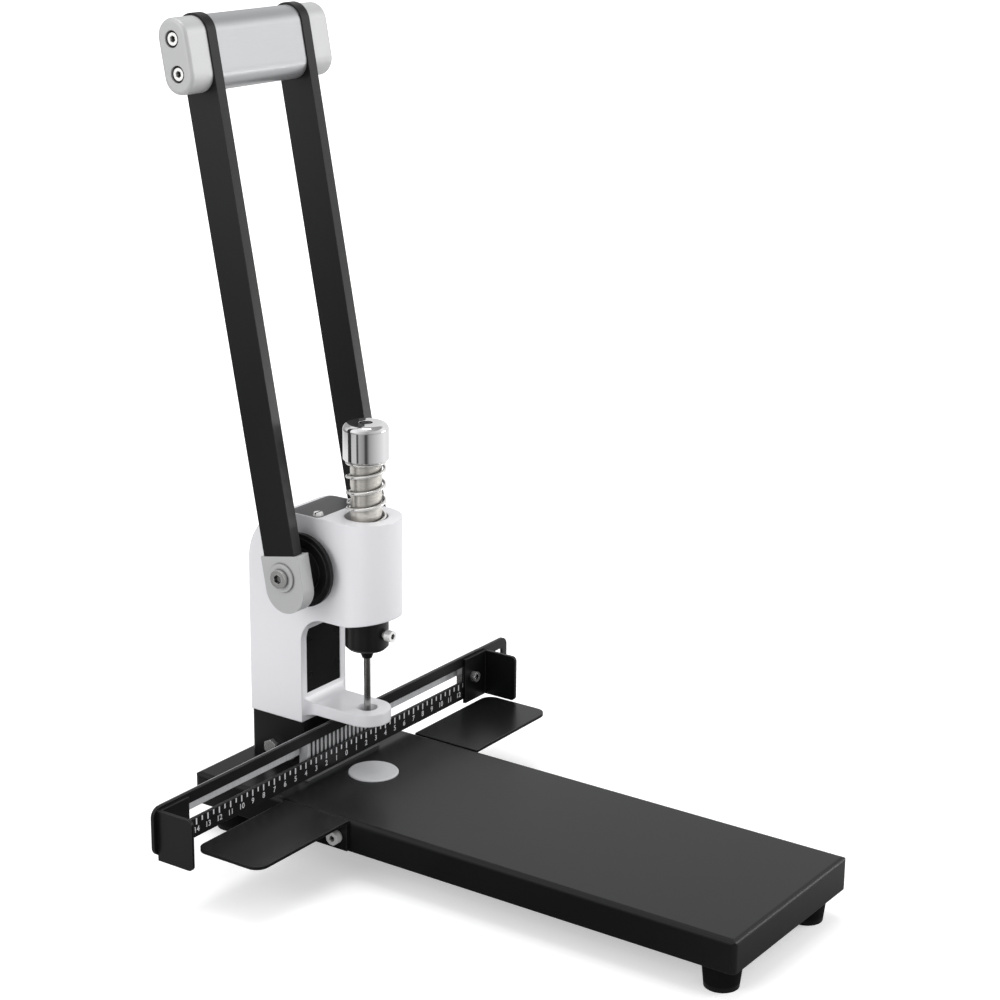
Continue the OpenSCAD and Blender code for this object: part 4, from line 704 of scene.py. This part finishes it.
@dataclass
class Tent:
    """Cloth tent round the punch, with darker panels, that shows in gloss alone; lengths in metres.

    Each row of panels is a list of stops: an angle in degrees from +X towards +Y, and a brightness. A row
    gives way to the next between two heights. The floor's row is dim near the punch, and a bright strip
    lies along the wall.
    """

    radius: float = 0.95
    height: float = 1.5
    roof_radius: float = 0.38
    roof_height: float = 1.875
    hole: float = 0.01
    ground: float = 0.003
    sides: int = 96
    ground_panels: Stops = (
        (-180, 0.42), (-160, 0.3), (-150, 0.05), (-142, 0.08), (-130, 0.35), (-110, 0.5), (-85, 0.65),
        (-35, 0.95), (0, 0.9), (35, 0.9), (115, 0.9), (120, 0.06), (133, 0.06), (138, 0.62), (162, 0.62),
        (165, 0.06), (171, 0.06), (176, 0.42), (180, 0.42))
    low_panels: Stops = (
        (-180, 0.5), (-140, 0.2), (-100, 0.4), (-58, 0.6), (-50, 0.9), (-30, 0.9), (-22, 0.8), (0, 0.85),
        (60, 0.85), (75, 0.3), (110, 0.1), (135, 0.2), (150, 0.2), (180, 0.5))
    high_panels: Stops = (
        (-180, 0.7), (-140, 0.4), (-100, 0.6), (-58, 0.8), (-50, 0.9), (-30, 0.9), (-22, 0.9), (0, 0.85),
        (40, 0.85), (50, 0.42), (80, 0.4), (110, 0.8), (125, 1.0), (150, 1.0), (180, 0.7))
    roof_panels: Stops = (
        (-180, 0.9), (-120, 0.5), (-60, 0.35), (40, 0.35), (80, 0.9), (180, 0.9))
    ground_to_low: tuple[float, float] = (0.004, 0.05)
    low_to_high: tuple[float, float] = (0.12, 0.34)
    high_to_roof: tuple[float, float] = (0.95, 1.15)
    ground_shade: tuple[float, float] = (0.16, 0.30)
    ground_least: float = 0.1
    strip_panels: Stops = (
        (-180, 0.0), (-56, 0.0), (-50, 8.0), (-30, 8.0), (-24, 0.0), (180, 0.0))
    strip_rise: tuple[float, float] = (0.17, 0.19)
    strip_fall: tuple[float, float] = (0.27, 0.25)

    def build(self) -> None:
        """Sets the tent up: floor disc, wall and sloping roof, turned from one profile."""
        angle = np.linspace(0, 2 * np.pi, self.sides, endpoint=False)
        profile = np.array([[self.hole, self.ground], [self.radius, self.ground],
                            [self.radius, self.height], [self.roof_radius, self.roof_height]])
        ring = np.stack([np.cos(angle), np.sin(angle)], axis=1)
        points = np.empty((len(profile), self.sides, 3))
        points[:, :, :2] = profile[:, None, :1] * ring
        points[:, :, 2] = profile[:, 1:]
        grid = np.arange(points.size // 3).reshape(len(profile), self.sides)
        a, b = grid[:-1], grid[1:]
        c, d = np.roll(b, -1, axis=1), np.roll(a, -1, axis=1)
        faces = np.stack([a, b, c, d], axis=-1).reshape(-1, 4)
        mesh = bpy.data.meshes.new("tent")
        mesh.from_pydata(points.reshape(-1, 3).tolist(), [], faces.tolist())
        mesh.materials.append(self.cloth())
        tent = bpy.data.objects.new("tent", mesh)
        tent.visible_camera = False
        tent.visible_diffuse = False
        tent.visible_shadow = False
        tent.visible_transmission = False
        bpy.context.scene.collection.objects.link(tent)

    def cloth(self) -> bpy.types.Material:
        """Glowing cloth whose brightness goes with the angle round the punch and with the height."""
        cloth = bpy.data.materials.new("tent_cloth")
        cloth.use_nodes = True
        graph = Graph(cloth.node_tree)
        place = graph.add("ShaderNodeTexCoord").outputs["Object"]
        part = graph.add("ShaderNodeSeparateXYZ", None, {0: place}).outputs
        turn = graph.between(graph.math("ARCTAN2", part["Y"], part["X"]), -math.pi, math.pi)
        away = graph.add("ShaderNodeVectorMath", {"operation": "LENGTH"}, {0: place}).outputs["Value"]
        dimmed = graph.spread(graph.between(away, *self.ground_shade), self.ground_least, 1.0)
        shade = graph.math("MULTIPLY", self.panels(graph, turn, self.ground_panels), dimmed)
        for stops, heights in ((self.low_panels, self.ground_to_low), (self.high_panels, self.low_to_high),
                               (self.roof_panels, self.high_to_roof)):
            rise = graph.between(part["Z"], *heights)
            above = self.panels(graph, turn, stops)
            shade = graph.add("ShaderNodeMix", None, {0: rise, 2: shade, 3: above}).outputs[0]
        band = graph.math("MULTIPLY", graph.between(part["Z"], *self.strip_rise),
                          graph.between(part["Z"], *self.strip_fall))
        strip = graph.math("MULTIPLY", band, self.panels(graph, turn, self.strip_panels))
        glow = graph.add("ShaderNodeEmission", None, {
            "Color": WHITE, "Strength": graph.math("ADD", shade, strip)})
        graph.add("ShaderNodeOutputMaterial", None, {"Surface": glow.outputs[0]})
        return cloth

    @staticmethod
    def panels(graph: Graph, turn: bpy.types.NodeSocket, stops: Stops) -> bpy.types.NodeSocket:
        """Brightness round the tent.

        Args:
            graph: The cloth's graph.
            turn: The angle from -180 to 180 degrees as 0 to 1.
            stops: Angles in degrees with their brightness.

        Returns:
            The brightness.
        """
        ramp = graph.add("ShaderNodeValToRGB", None, {"Fac": turn})
        row = ramp.color_ramp.elements
        for angle, bright in stops[1:-1]:
            row.new((angle + 180.0) / 360.0).color = (bright, bright, bright, 1.0)
        for end, (_, bright) in ((0, stops[0]), (-1, stops[-1])):
            row[end].color = (bright, bright, bright, 1.0)
        return ramp.outputs["Color"]


@dataclass
class Studio:
    """Pale floor, soft light, reflection tent and the camera; lens and sensor in millimetres."""

    lens: float = 86.27
    sensor: float = 36.0
    azimuth: float = math.radians(-55.42)
    elevation: float = math.radians(17.07)
    roll: float = math.radians(0.66)
    place: tuple[float, float, float] = (-1.0888, AXIS_Y - 0.8483, DECK_Z + 0.6001)
    clip: tuple[float, float] = (0.05, 60.0)
    floor_size: float = 30.0
    floor_colour: Colour = (0.8, 0.8, 0.8)
    glow_reach: tuple[float, float] = (0.3, 2.0)
    glow_near: float = 0.42
    sky: float = 0.5
    lamps: tuple[Softbox, ...] = field(default_factory=lambda: (
        Softbox("left_box", (-2.2, 0.7, 1.2), (1.5, 1.8), 25.0),
        Softbox("front_box", (-1.0, -2.2, 1.3), (1.3, 1.3), 8.0),
        Softbox("right_box", (1.8, -1.6, 1.2), (1.3, 1.6), 29.0),
        Softbox("top_box", (0.2, 0.3, 2.4), (1.6, 1.6), 25.0),
    ))

    def build(self) -> None:
        """Sets the whole studio."""
        bpy.context.scene.view_settings.view_transform = "Standard"
        self.light()
        self.floor()
        Tent().build()
        self.camera()

    @staticmethod
    def seen(graph: Graph) -> bpy.types.NodeSocket:
        """1 on rays from the camera, a mirror or a clear surface, and 0 on the others."""
        path = graph.add("ShaderNodeLightPath").outputs
        straight = graph.math("MAXIMUM", path["Is Camera Ray"], path["Is Glossy Ray"])
        return graph.math("MAXIMUM", straight, path["Is Transmission Ray"])

    def light(self) -> None:
        """Even sky that shows as white, and the soft lamps."""
        world = bpy.data.worlds.new("studio")
        world.use_nodes = True
        bpy.context.scene.world = world
        graph = Graph(world.node_tree)
        strength = graph.spread(self.seen(graph), self.sky, 1.0)
        sky = graph.add("ShaderNodeBackground", None, {"Color": WHITE, "Strength": strength})
        graph.add("ShaderNodeOutputWorld", None, {"Surface": sky.outputs[0]})
        for lamp in self.lamps:
            lamp.hang()

    def floor(self) -> None:
        """A wide pale floor that keeps the shadow and goes to white away from the punch."""
        half = self.floor_size / 2
        points = half * np.array([[-1, -1, 0], [1, -1, 0], [1, 1, 0], [-1, 1, 0]])
        mesh = bpy.data.meshes.new("floor")
        mesh.from_pydata(points.tolist(), [], [[0, 1, 2, 3]])
        floor = bpy.data.objects.new("floor", mesh)
        bpy.context.scene.collection.objects.link(floor)
        pale = bpy.data.materials.new("pale_floor")
        pale.use_nodes = True
        graph = Graph(pale.node_tree)
        matt = graph.add("ShaderNodeBsdfDiffuse", None, {"Color": self.floor_colour + (1.0,)})
        place = graph.add("ShaderNodeTexCoord").outputs["Object"]
        away = graph.add("ShaderNodeVectorMath", {"operation": "LENGTH"}, {0: place}).outputs["Value"]
        glow = graph.spread(graph.between(away, *self.glow_reach), self.glow_near, 1.0)
        lift = graph.add("ShaderNodeEmission", None, {
            "Color": WHITE, "Strength": graph.math("MULTIPLY", self.seen(graph), glow)})
        both = graph.add("ShaderNodeAddShader", None, {0: matt.outputs[0], 1: lift.outputs[0]})
        graph.add("ShaderNodeOutputMaterial", None, {"Surface": both.outputs[0]})
        mesh.materials.append(pale)

    def camera(self) -> None:
        """Camera at the photograph's angle, distance and lens."""
        data = bpy.data.cameras.new("camera")
        data.lens = self.lens
        data.sensor_width = self.sensor
        data.clip_start, data.clip_end = self.clip
        camera = bpy.data.objects.new("camera", data)
        a, e, r = self.azimuth, self.elevation, self.roll
        back = Vector((math.sin(a) * math.cos(e), -math.cos(a) * math.cos(e), math.sin(e)))
        right = Vector((math.cos(a), math.sin(a), 0.0))
        up = back.cross(right)
        turned = right * math.cos(r) + up * math.sin(r)
        axes = Matrix((turned, back.cross(turned), back)).transposed()
        camera.matrix_world = Matrix.Translation(Vector(self.place)) @ axes.to_4x4()
        bpy.context.scene.collection.objects.link(camera)
        bpy.context.scene.camera = camera


def main() -> None:
    """Builds and dresses every sub-assembly in order."""
    logging.basicConfig(level=logging.INFO, format="%(name)s: %(message)s")
    SharedEffects().build()
    Studio().build()
    gauge = Gauge()
    plunger = Plunger()
    gauge.build()
    plunger.build()
    for part in (PaperTable(), Head(), Lever(), plunger, gauge, SideStops()):
        part.dress()


if __name__ == "__main__":
    main()
